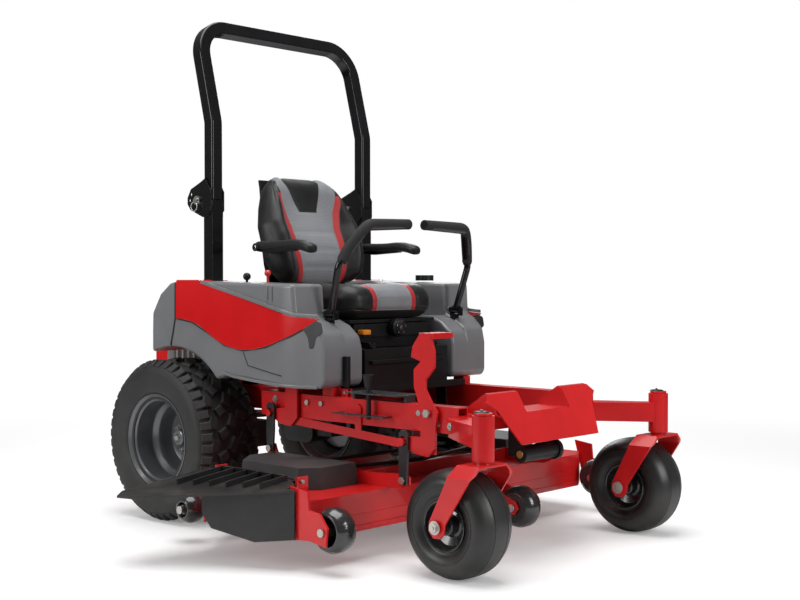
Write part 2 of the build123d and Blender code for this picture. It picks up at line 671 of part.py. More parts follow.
def deck_shell():
    face = make_face(Polyline(*deck_outline, close=True))
    shell = extrude(Pos(0, 0, deck_low) * face, amount=deck_top - deck_low)
    shell -= extrude(Pos(0, 0, deck_low - 1) * offset(face, amount=-wall, kind=Kind.INTERSECTION),
                     amount=deck_top - sheet - deck_low + 1)
    shell -= block((540, 920), (-deck_half - 5, -deck_half + 40), (deck_low - 5, deck_top - 14))
    for x, y in spindles.values():
        shell -= rod_z(x, y, (deck_top - 10, deck_top + 5), 62)
    shell += block((895, 901), (-380, 380), (deck_top, 262))
    corner_plate = [
        (954, 261), (1032, 251), (1038, 196), (1085, 190), (1118, 151), (1111, 92), (1039, 103),
        (991, 99), (985, 150),
    ]
    arms = side_plate(corner_plate, (deck_half - wall, deck_half + 3))
    front_bracket = [
        (880, deck_top), (1020, deck_top), (1080, 222), (1112, 236), (1112, 262), (1093, 272), (960, 262),
        (880, 262),
    ]
    inner = crank_y[0] + 2
    arms += side_plate(front_bracket, (inner, crank_y[1]))
    foot = hanger_rear[0]
    rear_bracket = [
        (foot - 40, deck_top), (foot + 60, deck_top), (foot + 20, hanger_rear[1]),
        (foot + 14, hanger_rear[1] + 16), (foot - 14, hanger_rear[1] + 16), (foot - 20, hanger_rear[1]),
    ]
    arms += side_plate(rear_bracket, (inner, crank_y[1]))
    x, z = rear_roller[0], rear_roller_z
    rear_plate = [(x - 22, z - 18), (x + 22, z - 18), (480, 150), (480, deck_top - 2), (x, 175)]
    arms += side_plate(rear_plate, (rear_roller[1] - roller_width / 2 - 12, rear_roller[1] - roller_width / 2 - 5))
    shell += arms + mirrored(arms)
    roller_arm = [
        (deck_front - 3, 130), (deck_front - 3, deck_top), (1110, deck_top - 2), (1275, 158), (1288, 135),
        (1272, 114), (1240, 116),
    ]
    for side in (-1, 1):
        shell += side_plate(roller_arm, (side * (roller_width / 2 + 3), side * (roller_width / 2 + 9)))
    lug = block((515, 523), (hinge_line_y - 18, hinge_line_y + 30), (deck_top, hinge_line_z + 14))
    lug += block((907, 915), (hinge_line_y - 18, hinge_line_y + 30), (deck_top, hinge_line_z + 14))
    return shell + lug


def belt_covers():
    """Moulded cover over each outer spindle pulley."""
    outline = [(480, 400), (892, 400), (892, 570), (840, 630), (560, 630), (480, 530)]
    face = make_face(Polyline(*outline, close=True))
    cover = extrude(Pos(0, 0, deck_top) * face, amount=72, taper=6)
    cover -= extrude(Pos(0, 0, deck_top - 1) * offset(face, amount=-4, kind=Kind.INTERSECTION),
                     amount=69, taper=6)
    cover -= block((540, 830), (400, 450), (deck_top + 12, deck_top + 55))
    return group(cover, mirrored(cover))


def spindle_housings():
    pieces = []
    for x, y in spindles.values():
        body = rod_z(x, y, (160, deck_top + 8), 60 - seat_gap) + rod_z(x, y, (deck_top, deck_top + 8), 88)
        body -= rod_z(x, y, (150, deck_top + 20), spindle_radius + running_fit)
        pieces.append(body)
    return group(*pieces)


def blade(name):
    """Blade bar with raised wings, its spindle shaft, bolt and pulley."""
    x, y = spindles[name]
    bar = Box(2 * blade_radius - 8, 62, 6)
    wing = Pos(blade_radius - 75, 24, 7) * Rot(24, 0, 0) * Box(110, 26, 5)
    bar += wing + Rot(0, 0, 180) * wing
    bar = Pos(x, y, 121) * Rot(0, 0, 65) * bar
    shaft = rod_z(x, y, (124, 276), spindle_radius) + rod_z(x, y, (124, 158), 26)
    shaft += rod_z(x, y, (104, 118), 17)
    groove = Pos(x, y, 0) * (rod_z(0, 0, (238, 262), pulley_radius))
    groove -= Pos(x, y, 0) * (rod_z(0, 0, (243, 257), 80) - rod_z(0, 0, (243, 257), pulley_radius - 10))
    return group(bar, shaft + groove)


def deck_belt():
    points = [spindles[name] for name in ("left", "center", "right")]
    face = make_face(Polyline(*points, close=True))
    inner = pulley_radius - 10 + seat_gap
    loop = offset(face, amount=inner + belt_width) - offset(face, amount=inner)
    return extrude(Pos(0, 0, 244.5) * loop, amount=11)


def deck_bolts():
    """Roller axles, chute hinge rod, hanger bolts and spindle bolts."""
    pieces = []
    for side in (-1, 1):
        x, y = corner_roller
        span = roller_width / 2
        axle = rod_y(x, (side * (y - span - 5), side * (deck_half + 3)), roller_z, roller_axle_radius)
        axle += rod_y(x, (side * (y - span - 12), side * (y - span - 5)), roller_z, 14)
        axle += rod_y(x, (side * (deck_half + 3), side * (deck_half + 10)), roller_z, 13)
        pieces.append(axle)
        x, y = rear_roller
        axle = rod_y(x, (side * (y - span - 12), side * (y + span + 5)), rear_roller_z, roller_axle_radius)
        axle += rod_y(x, (side * (y + span + 5), side * (y + span + 12)), rear_roller_z, 14)
        pieces.append(axle)
        for foot_x, foot_z in (hanger_front, hanger_rear):
            bolt = rod_y(foot_x, (side * crank_y[0], side * (hanger_y[1] + 2)), foot_z, crank_pin_radius)
            bolt += hex_head(foot_x, side * (hanger_y[1] + 2), foot_z, 22, 8)
            pieces.append(bolt)
    x, y = front_roller
    span = roller_width / 2 + 9
    axle = rod_y(x, (-span, span), roller_z, roller_axle_radius)
    axle += rod_y(x, (-span - 7, -span), roller_z, 13) + rod_y(x, (span, span + 7), roller_z, 13)
    pieces.append(axle)
    rod = rod_x((505, 925), hinge_line_y, hinge_line_z, 6)
    pieces.append(rod)
    for x, y in spindles.values():
        for step in range(4):
            angle = pi / 4 + step * pi / 2
            place = Pos(x + 74 * cos(angle), y + 74 * sin(angle), deck_top + 8)
            pieces.append(place * extrude(RegularPolygon(8, 6), 5))
    return group(*pieces)


def discharge_chute():
    """Flexible deflector hinged along the deck's right side, with ribs and a front skirt."""
    tilt = -7.0
    outline = [
        (505, -26), (534, -26), (534, 4), (896, 4), (896, -26), (905, -26), (950, -62), (950, -93), (984, -95),
        (955, -122), (740, -262), (640, -336), (560, -384), (490, -398), (452, -350), (470, -60),
    ]
    plate = flat_plate(outline, (-3, 4))
    for step in range(6):
        x = 560 + step * 62
        plate += block((x, x + 7), (-215 + step * 16, -22), (4, 22))
    for step in range(5):
        x = 567 + step * 62
        plate += block((x, x + 55), (-30, -22), (4, 22))
    place = Pos(0, hinge_line_y, hinge_line_z) * Rot(-tilt, 0, 0)
    top = place * plate
    barrel = rod_x((530, 900), hinge_line_y, hinge_line_z, 11)
    skirt_line = [(986, -778), (690, -900), (686, -892), (982, -770)]
    skirt = flat_plate(skirt_line, (80, 262))
    skirt_outline = [
        (686, 300), (686, 170), (720, 118), (860, 84), (985, 100), (985, 300),
    ]
    skirt = skirt & side_plate(skirt_outline, (-1000, -700))
    above = place * block((600, 1100), (-400, 100), (-2, 100))
    chute = top + (skirt - above) + barrel
    chute -= rod_x((500, 930), hinge_line_y, hinge_line_z, 6 + running_fit)
    return chute


def roller(x, y, z, radius, width):
    """Rounded anti-scalp wheel, hollow on its outer side."""
    half = width / 2
    bore = roller_axle_radius + running_fit
    boss = bore + 9
    ring = spun([
        (bore, -half), (radius - 20, -half), (radius - 6, 12 - half), (radius, 30 - half),
        (radius, half - 26), (radius - 10, half - 6), (radius - 18, half), (radius - 24, half),
        (radius - 30, 18 - half), (boss, 18 - half), (boss, half - 4), (bore, half - 4),
    ])
    flip = Rot(180, 0, 0) if y < 0 else Rot(0, 0, 0)
    return Pos(x, y, z) * flip * ring


# ---------------------------------------------------------------- deck lift
def crank_plate(pivot, top_outline):
    """Crank drawn about its pivot: arm to the hanger bolt, tail to the pull rod."""
    low = [(-33, -30), (-33, -77), (-93, -82), (-118, -104), (-58, -134), (-4, -140), (28, -108), (28, -54)]
    outline = [(x + pivot[0], z + pivot[1]) for x, z in low + top_outline]
    plate = side_plate(outline, crank_y)
    plate += rod_y(pivot[0] + crank_arm[0], crank_y, pivot[1] + crank_arm[1], 19)
    return plate


def crank_pin(pivot):
    x, z = pivot[0] + crank_arm[0], pivot[1] + crank_arm[1]
    pin = rod_y(x, (crank_y[0], hanger_y[1] + 3), z, crank_pin_radius)
    return pin + hex_head(x, hanger_y[1] + 2, z, 24, 9)


def rod_pin(pivot):
    """Pin on the inner side of a crank that drives the pull rod."""
    return rod_y(pivot[0] + rod_arm[0], (rod_y_range[0], crank_y[0]), pivot[1] + rod_arm[1], 7)


def lift_pedal():
    """Right front crank with the foot pedal, and the plain left front crank."""
    x, z = front_crank
    pedal_outline = [
        (37, 5), (14, 31), (-14, 76), (-14, 104), (23, 145), (23, 198), (9, 243), (9, 252), (-36, 252),
        (-67, 212), (-74, 176), (-33, 163), (-62, 137), (-62, 83), (-43, 31), (-33, 0),
    ]
    plain_outline = [(30, 5), (20, 25), (-16, 25), (-30, 5)]
    bore = rod_y(x, (crank_y[0] - 1, crank_y[1] + 1), z, 12 + running_fit)
    left = crank_plate(front_crank, plain_outline) + crank_pin(front_crank) + rod_pin(front_crank) - bore
    pedal = crank_plate(front_crank, pedal_outline) + crank_pin(front_crank) + rod_pin(front_crank) - bore
    pad = block((x - 40, x + 20), (crank_y[1], 296), (z + 246, z + 254))
    pad += block((x + 12, x + 20), (crank_y[1], 296), (z + 236, z + 254))
    pedal += pad
    return group(left, mirrored(pedal))


def rear_lift_shaft():
    x, z = rear_crank
    outline = [(28, 10), (20, 26), (-20, 26), (-30, 10)]
    crank = crank_plate(rear_crank, outline) + crank_pin(rear_crank) + rod_pin(rear_crank)
    shaft = rod_y(x, (-crank_y[1], crank_y[1]), z, 16)
    return shaft + crank + mirrored(crank)


def lift_rods():
    """Pull rods between the rear and front cranks, with the stop tag on the right rod."""
    z_rear = rear_crank[1] + rod_arm[1]
    z_front = front_crank[1] + rod_arm[1]
    x_rear = rear_crank[0] + rod_arm[0]
    x_front = front_crank[0] + rod_arm[0]
    bar = side_plate(
        [(x_rear - 18, z_rear - 14), (x_rear - 18, z_rear + 14), (x_front + 18, z_front + 14),
         (x_front + 18, z_front - 14)], rod_y_range)
    for x, z in ((x_rear, z_rear), (x_front, z_front)):
        bar -= rod_y(x, (360, 390), z, 7 + running_fit)
    share = (870 - x_rear) / (x_front - x_rear)
    rod_z_here = z_rear + share * (z_front - z_rear)
    tag = side_plate([(860, rod_z_here), (884, rod_z_here), (884, 470), (872, 480), (848, 480)], rod_y_range)
    return group(bar, mirrored(bar + tag))


def hanger_slot_middle():
    return (sum(slot_side) / 2, hanger_length + sum(slot_reach) / 2)


def hangers(foot):
    """Slotted link on each side: a round hole at its foot and the crank pin's slot on top."""
    middle = hanger_slot_middle()
    width = slot_side[1] - slot_side[0] + 2 * crank_pin_radius
    height = slot_reach[1] - slot_reach[0] + 2 * crank_pin_radius
    x, z = foot
    link = side_plate(
        [(x - 15, z - 14), (x + 15, z - 14), (x + 20, z + 60), (x + 22, z + 152), (x + 12, z + 162),
         (x - 8, z + 162), (x - 18, z + 152), (x - 18, z + 60)], hanger_y)
    link -= block((x + middle[0] - width / 2, x + middle[0] + width / 2), (hanger_y[0] - 1, hanger_y[1] + 1),
                  (z + middle[1] - height / 2, z + middle[1] + height / 2))
    link -= rod_y(x, (hanger_y[0] - 1, hanger_y[1] + 1), z, crank_pin_radius + running_fit)
    return group(link, mirrored(link))


# ---------------------------------------------------------------- controls
def lever_base(side):
    """Upright bar on its pivot, with the swing-out hinge pin on top."""
    x, z = lever_pivot
    floor = lever_clamp_z - 18
    width = (lever_y - 12, lever_y + 12)
    bar = block((x - 12, x + 12), width, (z - 16, floor))
    pivot = rod_y(x, (lever_y - 55, lever_y + 55), z, 8)
    top = block((x - 14, x - 8), width, (floor - 6, lever_clamp_z + 8))
    top += block((x + 26, x + 32), width, (floor - 6, lever_clamp_z + 8))
    top += block((x - 14, x + 32), width, (floor - 6, floor))
    top += rod_x((x - 18, x + 36), lever_y, lever_clamp_z, 5)
    base = bar + pivot + top
    return base if side > 0 else mirrored(base)


def control_lever(side):
    """Bent tube with its foam grip, on the swing-out hinge."""
    x = lever_pivot[0] + 9
    foot = (x, lever_y, lever_clamp_z + 6)
    points = [foot, (745, 348, 945), (760, 323, 992), (800, 266, 1082), (792, 41, 1093)]
    path = FilletPolyline(*points, radius=[60, 40, 34])
    start = Plane(origin=path @ 0, z_dir=path % 0)
    tube = sweep(start * Circle(lever_radius), path=path)
    eye = rod_x((x - 15, x + 15), lever_y, lever_clamp_z, 14.5)
    tube = (tube + eye) - rod_x((x - 30, x + 30), lever_y, lever_clamp_z, 5 + running_fit)
    grip_path = FilletPolyline((753, 335, 969), *points[2:], radius=[40, 34])
    grip_start = Plane(origin=grip_path @ 0, z_dir=grip_path % 0)
    grip = sweep(grip_start * Circle(grip_radius), path=grip_path)
    grip = grip - tube
    lever = group(tube, max(grip.solids(), key=lambda solid: solid.volume))
    return lever if side > 0 else mirrored(lever)


def brake_lever():
    x, y, z = brake_pivot
    lever = rod_y(x, (y - 7 + seat_gap, y + 7 - seat_gap), z, 10) + block((x - 8, x + 8), (y - 5, y + 5), (z, 545))
    lever -= rod_y(x, (y - 12, y + 12), z, 5 + running_fit)
    grip = fillet(block((x - 12, x + 12), (y - 10, y + 10), (534, 634)).edges().filter_by(Axis.Z), 6)
    return lever + grip


def brake_pin():
    x, y, z = brake_pivot
    return rod_y(x, (y - 12, y + 12), z, 5)


def small_lever(x, y, ball_radius, ball_z):
    lever = rod_z(x, y, (854, ball_z), 4.5) + rod_y(x, (y - 7.5, y + 7.5), 854, 8)
    lever += rod_y(x, (y - 12, y + 12), 854, 4)
    return lever + Pos(x, y, ball_z) * Sphere(ball_radius)


def height_pin():
    pin = rod_z(938, -400, (436, 545), 8) + rod_z(938, -400, (522 + seat_gap, 527), 14)
    knob = Pos(938, -400, 562) * Rot(180, 0, 0) * Cone(21, 13, 44)
    return pin + knob


# ---------------------------------------------------------------- seat
seat_hinge = (724.0, 662.0)


def seat_base():
    """Lower suspension housing that tilts forward on two hinge arms."""
    body = block((330, 668), (-190, 190), (console_top + 2, 702))
    body -= block((336, 662), (-184, 184), (console_top + 1, 696))
    for x in (380, 620):
        for y in (-140, 140):
            body += rod_z(x, y, (702, 731 - seat_gap), 14)
    arm = block((660, seat_hinge[0]), (172, 180), (console_top + 3, 674))
    arm += rod_y(seat_hinge[0], (172, 180), seat_hinge[1], 12)
    arm += rod_y(seat_hinge[0], (150, 180), seat_hinge[1], 6)
    return body + arm + mirrored(arm)


def seat_carriage():
    """Upper suspension tray that rides over the lower housing, with the slide rails."""
    tray = block((318, 680), (-204, 204), (690, 737))
    tray -= block((324, 674), (-198, 198), (689, 731))
    for side in (-1, 1):
        tray += block((330, 660), (side * 120, side * 150), (737, 741))
    return tray


def seat_shell():
    """Seat pan under the cushion and the shell behind the backrest."""
    low = cushion_low - seat_gap
    pan = block((cushion_rear - 30, cushion_front - 10), (-226, 226), (741 + seat_gap, low))
    slope = (back_high_x - back_low_x) / (back_high - back_low)
    rear_low = back_low_x - back_thickness - seat_gap
    rear_high = back_high_x - back_thickness - seat_gap
    foot_x = rear_low + slope * (741 - back_low)
    shell_side = [
        (foot_x, 741 + seat_gap), (rear_low, back_low), (rear_high + 6, back_high - 20),
        (rear_high - 8, back_high - 20), (rear_low - 14, back_low), (foot_x - 10, 760),
        (foot_x - 8, 741 + seat_gap),
    ]
    back = side_plate(shell_side, (-200, 200))
    bridge = block((foot_x - 6, cushion_rear - 20), (-180, 180), (741 + seat_gap, low))
    return pan + bridge + back


def seat_cushion():
    body = block((cushion_rear, cushion_front), (-seat_half, seat_half), (cushion_low, cushion_high))
    return fillet(body.edges(), 28)


def seat_backrest():
    lean = [
        (back_low_x, back_low + seat_gap), (back_high_x, back_high), (back_high_x - back_thickness, back_high),
        (back_low_x - back_thickness, back_low + seat_gap),
    ]
    body = side_plate(lean, (-seat_half, seat_half))
    trim_line = [
        (-seat_half, back_low - 5), (-seat_half, back_low + 250), (-back_top_half, back_high + 5),
        (back_top_half, back_high + 5), (seat_half, back_low + 250), (seat_half, back_low - 5),
    ]
    body = body & cross_plate(trim_line, (-100, 600))
    return fillet(body.edges(), 18)


def armrest(side):
    x, z = arm_pivot
    y = (arm_inner, arm_inner + arm_width)
    pad = block((x - 22, arm_tip_x), y, (z - 18, z + 20))
    pad = fillet(pad.edges(), 12)
    pad -= rod_y(x, (y[0] - 2, y[1] + 2), z, 10 + running_fit)
    return pad if side > 0 else mirrored(pad)


def arm_pins():
    """Pins and brackets on the seat shell that carry the armrests."""
    x, z = arm_pivot
    pin = rod_y(x, (seat_half - 16, arm_inner + arm_width + 3), z, 10)
    pin += rod_y(x, (arm_inner + arm_width + seat_gap, arm_inner + arm_width + 8), z, 16)
    return pin


def seat_knob():
    """Weight dial on the front of the suspension."""
    middle_z = 722.0
    knob = rod_x((684, 716), 0, middle_z, 34) + rod_x((716, 724), 0, middle_z, 26)
    knob += rod_x((680 + seat_gap, 684), 0, middle_z, 20)
    return knob


def seat_tab():
    """Pull tab of the seat slide on the right of the suspension's front."""
    return block((680 + seat_gap, 712), (-190, -150), (700, 718))


def fuel_cap():
    x, y = fuel_neck
    cap = rod_z(x, y, (890 + seat_gap, 912), 36)
    for step in range(8):
        angle = 2 * pi * step / 8
        cap -= rod_z(x + 39 * cos(angle), y + 39 * sin(angle), (895, 920), 6)
    return cap


# ---------------------------------------------------------------- assembly
def build_nodes():
    tyre, rim = caster_wheel()
    caster_place = Pos(caster_axle_x, caster_half_track, caster_radius)
    caster = caster_place * group(tyre, rim)
    drive_place = Pos(0, wheel_middle, tyre_radius)
    rim_left = drive_place * drive_rim()
    tyre_left = drive_place * drive_tyre()
    fork = caster_fork()
    plate, shelf = height_plates()
    seat_side_pin = arm_pins()
    bolts = deck_bolts()
    nodes = {
        "main_frame": main_frame(),
        "front_guard": front_guard(),
        "foot_platform": foot_platform(),
        "height_plates": group(plate, shelf),
        "seat_console": seat_console(),
        "fenders_and_tank": fenders_and_tank(),
        "fender_panels": fender_panels(),
        "rops_posts": rops_posts(),
        "chassis_bolts": group(chassis_bolts(), brake_pin()),
        "engine_block": engine_block(),
        "engine_covers": engine_covers(),
        "muffler": muffler(),
        "transaxles": transaxles(),
        "front_isolator": front_isolator(),
        "deck_shell": deck_shell() - bolts,
        "belt_covers": belt_covers(),
        "spindle_housings": spindle_housings(),
        "deck_belt": deck_belt(),
        "deck_bolts": bolts,
        "discharge_chute": discharge_chute(),
        "front_hangers": hangers(hanger_front),
        "rear_hangers": hangers(hanger_rear),
        "lift_pedal": lift_pedal(),
        "rear_lift_shaft": rear_lift_shaft(),
        "lift_rods": lift_rods(),
        "lever_base_left": lever_base(1),
        "lever_base_right": lever_base(-1),
        "control_lever_left": control_lever(1),
        "control_lever_right": control_lever(-1),
        "seat_base": seat_base(),
        "seat_carriage": seat_carriage(),
        "seat_shell": seat_shell(),
        "seat_cushion": seat_cushion(),
        "seat_backrest": seat_backrest() + seat_side_pin + mirrored(seat_side_pin),
        "armrest_left": armrest(1),
        "armrest_right": armrest(-1),
        "seat_knob": seat_knob(),
        "seat_tab": seat_tab(),
        "rops_hoop": rops_hoop(),
        "brake_lever": brake_lever(),
        "throttle_lever": small_lever(*throttle, 14, 907),
        "choke_lever": small_lever(*choke, 12, 919),
        "fuel_cap": fuel_cap(),
        "height_pin": height_pin(),
        "drive_tyre_left": tyre_left,
        "drive_tyre_right": mirrored(tyre_left),
        "drive_rim_left": rim_left,
        "drive_rim_right": mirrored(rim_left),
        "caster_fork_left": fork,
        "caster_fork_right": mirrored(fork),
        "caster_wheel_left": caster,
        "caster_wheel_right": mirrored(caster),
    }
    for name in spindles:
        nodes["blade_" + name] = blade(name)
    nodes["roller_front_center"] = roller(*front_roller, roller_z, roller_radius, roller_width)
    for side, sign in (("left", 1), ("right", -1)):
        x, y = corner_roller
        nodes["roller_front_" + side] = roller(x, sign * y, roller_z, roller_radius, roller_width)
        x, y = rear_roller
        nodes["roller_rear_" + side] = roller(x, sign * y, rear_roller_z, rear_roller_radius, roller_width)
    return nodes


def footprint_middle(nodes):
    """Middle of the machine's box, which becomes the origin on the ground."""
    boxes = [shape.bounding_box() for shape in nodes.values()]
    low_x = min(box.min.X for box in boxes)
    high_x = max(box.max.X for box in boxes)
    low_y = min(box.min.Y for box in boxes)
    high_y = max(box.max.Y for box in boxes)
    return (low_x + high_x) / 2, (low_y + high_y) / 2


nodes = build_nodes()
middle_x, middle_y = footprint_middle(nodes)
for name, shape in nodes.items():
    export_step(Pos(-middle_x, -middle_y, 0) * shape, "parts/" + name + ".step")
print("nodes", len(nodes), "origin", round(middle_x, 3), round(middle_y, 3))
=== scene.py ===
import json
from math import atan2, cos, exp, pi, radians, sin

import bmesh
import bpy
from mathutils import Matrix, Vector


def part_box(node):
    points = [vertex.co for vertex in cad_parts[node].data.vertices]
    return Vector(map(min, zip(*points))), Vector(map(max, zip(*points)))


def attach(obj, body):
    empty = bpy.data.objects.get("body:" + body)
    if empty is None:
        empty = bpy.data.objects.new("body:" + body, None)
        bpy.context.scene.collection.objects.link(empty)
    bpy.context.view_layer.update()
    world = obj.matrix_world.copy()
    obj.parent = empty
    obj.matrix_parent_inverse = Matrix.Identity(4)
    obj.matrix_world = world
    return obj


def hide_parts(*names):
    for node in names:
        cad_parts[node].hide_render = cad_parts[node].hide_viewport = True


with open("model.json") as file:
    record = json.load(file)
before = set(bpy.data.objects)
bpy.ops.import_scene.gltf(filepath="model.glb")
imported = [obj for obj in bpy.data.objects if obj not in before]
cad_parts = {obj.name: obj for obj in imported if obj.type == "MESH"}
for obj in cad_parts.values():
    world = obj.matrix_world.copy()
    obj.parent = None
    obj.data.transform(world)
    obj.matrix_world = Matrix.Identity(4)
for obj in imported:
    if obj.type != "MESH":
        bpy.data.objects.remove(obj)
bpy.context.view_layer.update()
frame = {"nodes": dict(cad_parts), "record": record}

# ------------------------------------------------------------------ places
# Everything is drawn in metres from the drive axle, the centreline and the ground:
# +X forward, +Y to the operator's left, +Z up.
left_low, left_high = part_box("drive_tyre_left")
right_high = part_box("drive_tyre_right")[1]
HOME = Vector(((left_low.x + left_high.x) / 2, (left_low.y + right_high.y) / 2, 0))


def span(node):
    """Lowest and highest corner of a CAD node, from the axle and the centreline."""
    low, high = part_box(node)
    return low - HOME, high - HOME


def middle(node):
    low, high = span(node)
    return (low + high) / 2


# ------------------------------------------------------------------ material parts
def feed(tree, item, socket):
    """Gives a socket a number, a colour or another node's output."""
    if isinstance(item, (int, float)):
        socket.default_value = item
    elif isinstance(item, tuple):
        socket.default_value = (*item, 1.0)
    else:
        tree.links.new(item, socket)


def value_math(tree, operation, first, second):
    node = tree.nodes.new("ShaderNodeMath")
    node.operation = operation
    feed(tree, first, node.inputs[0])
    feed(tree, second, node.inputs[1])
    return node.outputs[0]


def colour_mix(tree, factor, first, second):
    node = tree.nodes.new("ShaderNodeMix")
    node.data_type = "RGBA"
    for index, item in ((0, factor), (6, first), (7, second)):
        feed(tree, item, node.inputs[index])
    return node.outputs[2]


def noise(tree, vector, scale, detail=3.0, roughness=0.55):
    node = tree.nodes.new("ShaderNodeTexNoise")
    node.inputs["Detail"].default_value = detail
    node.inputs["Roughness"].default_value = roughness
    tree.links.new(vector, node.inputs["Vector"])
    feed(tree, scale, node.inputs["Scale"])
    return node.outputs["Fac"]


def map_range(tree, value, low, high, to_low=0.0, to_high=1.0):
    node = tree.nodes.new("ShaderNodeMapRange")
    node.interpolation_type = "SMOOTHSTEP"
    tree.links.new(value, node.inputs["Value"])
    for name, item in (("From Min", low), ("From Max", high), ("To Min", to_low), ("To Max", to_high)):
        feed(tree, item, node.inputs[name])
    return node.outputs["Result"]


def new_group(name, inputs, outputs):
    group = bpy.data.node_groups.new(name, "ShaderNodeTree")
    for label, default in inputs:
        socket = group.interface.new_socket(name=label, in_out="INPUT", socket_type="NodeSocketFloat")
        socket.default_value = default
    for label in outputs:
        group.interface.new_socket(name=label, in_out="OUTPUT", socket_type="NodeSocketFloat")
    return group, group.nodes.new("NodeGroupInput"), group.nodes.new("NodeGroupOutput")


def make_grain_group():
    """Broad and fine mottling of a surface."""
    group, entry, result = new_group("Grain", [("Fine Scale", 300.0), ("Broad Scale", 6.0)], ["Fine", "Broad"])
    place = group.nodes.new("ShaderNodeTexCoord").outputs["Object"]
    group.links.new(noise(group, place, entry.outputs["Fine Scale"], 4.0), result.inputs["Fine"])
    group.links.new(noise(group, place, entry.outputs["Broad Scale"], 5.0), result.inputs["Broad"])
    return group


def make_wear_group():
    """Worn and rubbed outer edges, broken up by noise."""
    group, entry, result = new_group("Edge_wear", [("Radius", 0.003), ("Break Up", 60.0)], ["Mask"])
    geometry = group.nodes.new("ShaderNodeNewGeometry")
    bevel = group.nodes.new("ShaderNodeBevel")
    bevel.samples = 4
    group.links.new(entry.outputs["Radius"], bevel.inputs["Radius"])
    dot = group.nodes.new("ShaderNodeVectorMath")
    dot.operation = "DOT_PRODUCT"
    group.links.new(bevel.outputs["Normal"], dot.inputs[0])
    group.links.new(geometry.outputs["Normal"], dot.inputs[1])
    edge = map_range(group, dot.outputs["Value"], 0.80, 0.985, 1.0, 0.0)
    place = group.nodes.new("ShaderNodeTexCoord").outputs["Object"]
    broken = map_range(group, noise(group, place, entry.outputs["Break Up"], 5.0, 0.7), 0.42, 0.62)
    group.links.new(value_math(group, "MULTIPLY", edge, broken), result.inputs["Mask"])
    return group


def make_dust_group():
    """Dust that gathers low down and on faces that look up."""
    group, entry, result = new_group("Dust", [("Top", 0.5), ("Patch Scale", 9.0)], ["Mask"])
    place = group.nodes.new("ShaderNodeTexCoord").outputs["Object"]
    split = group.nodes.new("ShaderNodeSeparateXYZ")
    group.links.new(place, split.inputs[0])
    low = map_range(group, split.outputs["Z"], 0.0, entry.outputs["Top"], 1.0, 0.0)
    normal = group.nodes.new("ShaderNodeNewGeometry").outputs["Normal"]
    facing = group.nodes.new("ShaderNodeSeparateXYZ")
    group.links.new(normal, facing.inputs[0])
    up = map_range(group, facing.outputs["Z"], 0.2, 1.0, 0.25, 1.0)
    patch = map_range(group, noise(group, place, entry.outputs["Patch Scale"], 6.0, 0.65), 0.35, 0.75)
    group.links.new(
        value_math(group, "MULTIPLY", value_math(group, "MULTIPLY", low, up), patch), result.inputs["Mask"])
    return group


GRAIN = make_grain_group()
WEAR = make_wear_group()
DUST = make_dust_group()


def place_group(tree, group, **values):
    node = tree.nodes.new("ShaderNodeGroup")
    node.node_tree = group
    for name, value in values.items():
        node.inputs[name.replace("_", " ")].default_value = value
    return node


def surface(name, colour, rough, metallic=0.0, coat=0.0, vary=0.12, fine=300.0, broad=6.0, bump=0.15,
            bump_depth=0.0004, rough_vary=0.12, wear=None, wear_amount=0.6, dust=0.0, dust_top=0.5,
            dust_colour=(0.33, 0.29, 0.24), pattern=None, sheen=0.0, specular=0.5):
    """A material with mottled colour, varied gloss, a fine relief, and optional wear, dust and pattern.
    A neutral colour may be given as one number."""
    colour, wear = (item if isinstance(item, tuple) else (item,) * 3 for item in (colour, wear or 0.0))
    worn = any(wear)
    material = bpy.data.materials.new(name)
    material.use_nodes = True
    tree = material.node_tree
    shader = tree.nodes["Principled BSDF"]
    shader.inputs["Metallic"].default_value = metallic
    shader.inputs["Coat Weight"].default_value = coat
    shader.inputs["Coat Roughness"].default_value = 0.08
    shader.inputs["Sheen Weight"].default_value = sheen
    shader.inputs["Specular IOR Level"].default_value = specular
    grain = place_group(tree, GRAIN, Fine_Scale=fine, Broad_Scale=broad)
    dark = tuple(c * (1 - vary) for c in colour)
    light = tuple(min(1.0, c * (1 + vary)) for c in colour)
    tint = colour_mix(tree, map_range(tree, grain.outputs["Broad"], 0.3, 0.7), dark, light)
    roughness = value_math(tree, "ADD", rough - rough_vary / 2, value_math(
        tree, "MULTIPLY", grain.outputs["Broad"], rough_vary))
    height = grain.outputs["Fine"]
    if pattern:
        height, tint, roughness = pattern(tree, height, tint, roughness)
    if worn:
        mask = value_math(tree, "MULTIPLY", place_group(tree, WEAR).outputs["Mask"], wear_amount)
        tint = colour_mix(tree, mask, tint, wear)
        roughness = value_math(tree, "ADD", roughness, value_math(tree, "MULTIPLY", mask, 0.15))
    if dust:
        mask = value_math(tree, "MULTIPLY", place_group(tree, DUST, Top=dust_top).outputs["Mask"], dust)
        tint = colour_mix(tree, mask, tint, dust_colour)
        roughness = value_math(tree, "ADD", roughness, value_math(tree, "MULTIPLY", mask, 0.4))
    relief = tree.nodes.new("ShaderNodeBump")
    relief.inputs["Strength"].default_value = bump
    relief.inputs["Distance"].default_value = bump_depth
    tree.links.new(height, relief.inputs["Height"])
    tree.links.new(relief.outputs["Normal"], shader.inputs["Normal"])
    tree.links.new(tint, shader.inputs["Base Color"])
    tree.links.new(roughness, shader.inputs["Roughness"])
    return material


def cell_distance(tree, scale, randomness=1.0):
    """Distance from the middle of each cell of a pattern."""
    cell = tree.nodes.new("ShaderNodeTexVoronoi")
    cell.inputs["Scale"].default_value = scale
    cell.inputs["Randomness"].default_value = randomness
    tree.links.new(tree.nodes.new("ShaderNodeTexCoord").outputs["Object"], cell.inputs["Vector"])
    return cell.outputs["Distance"]


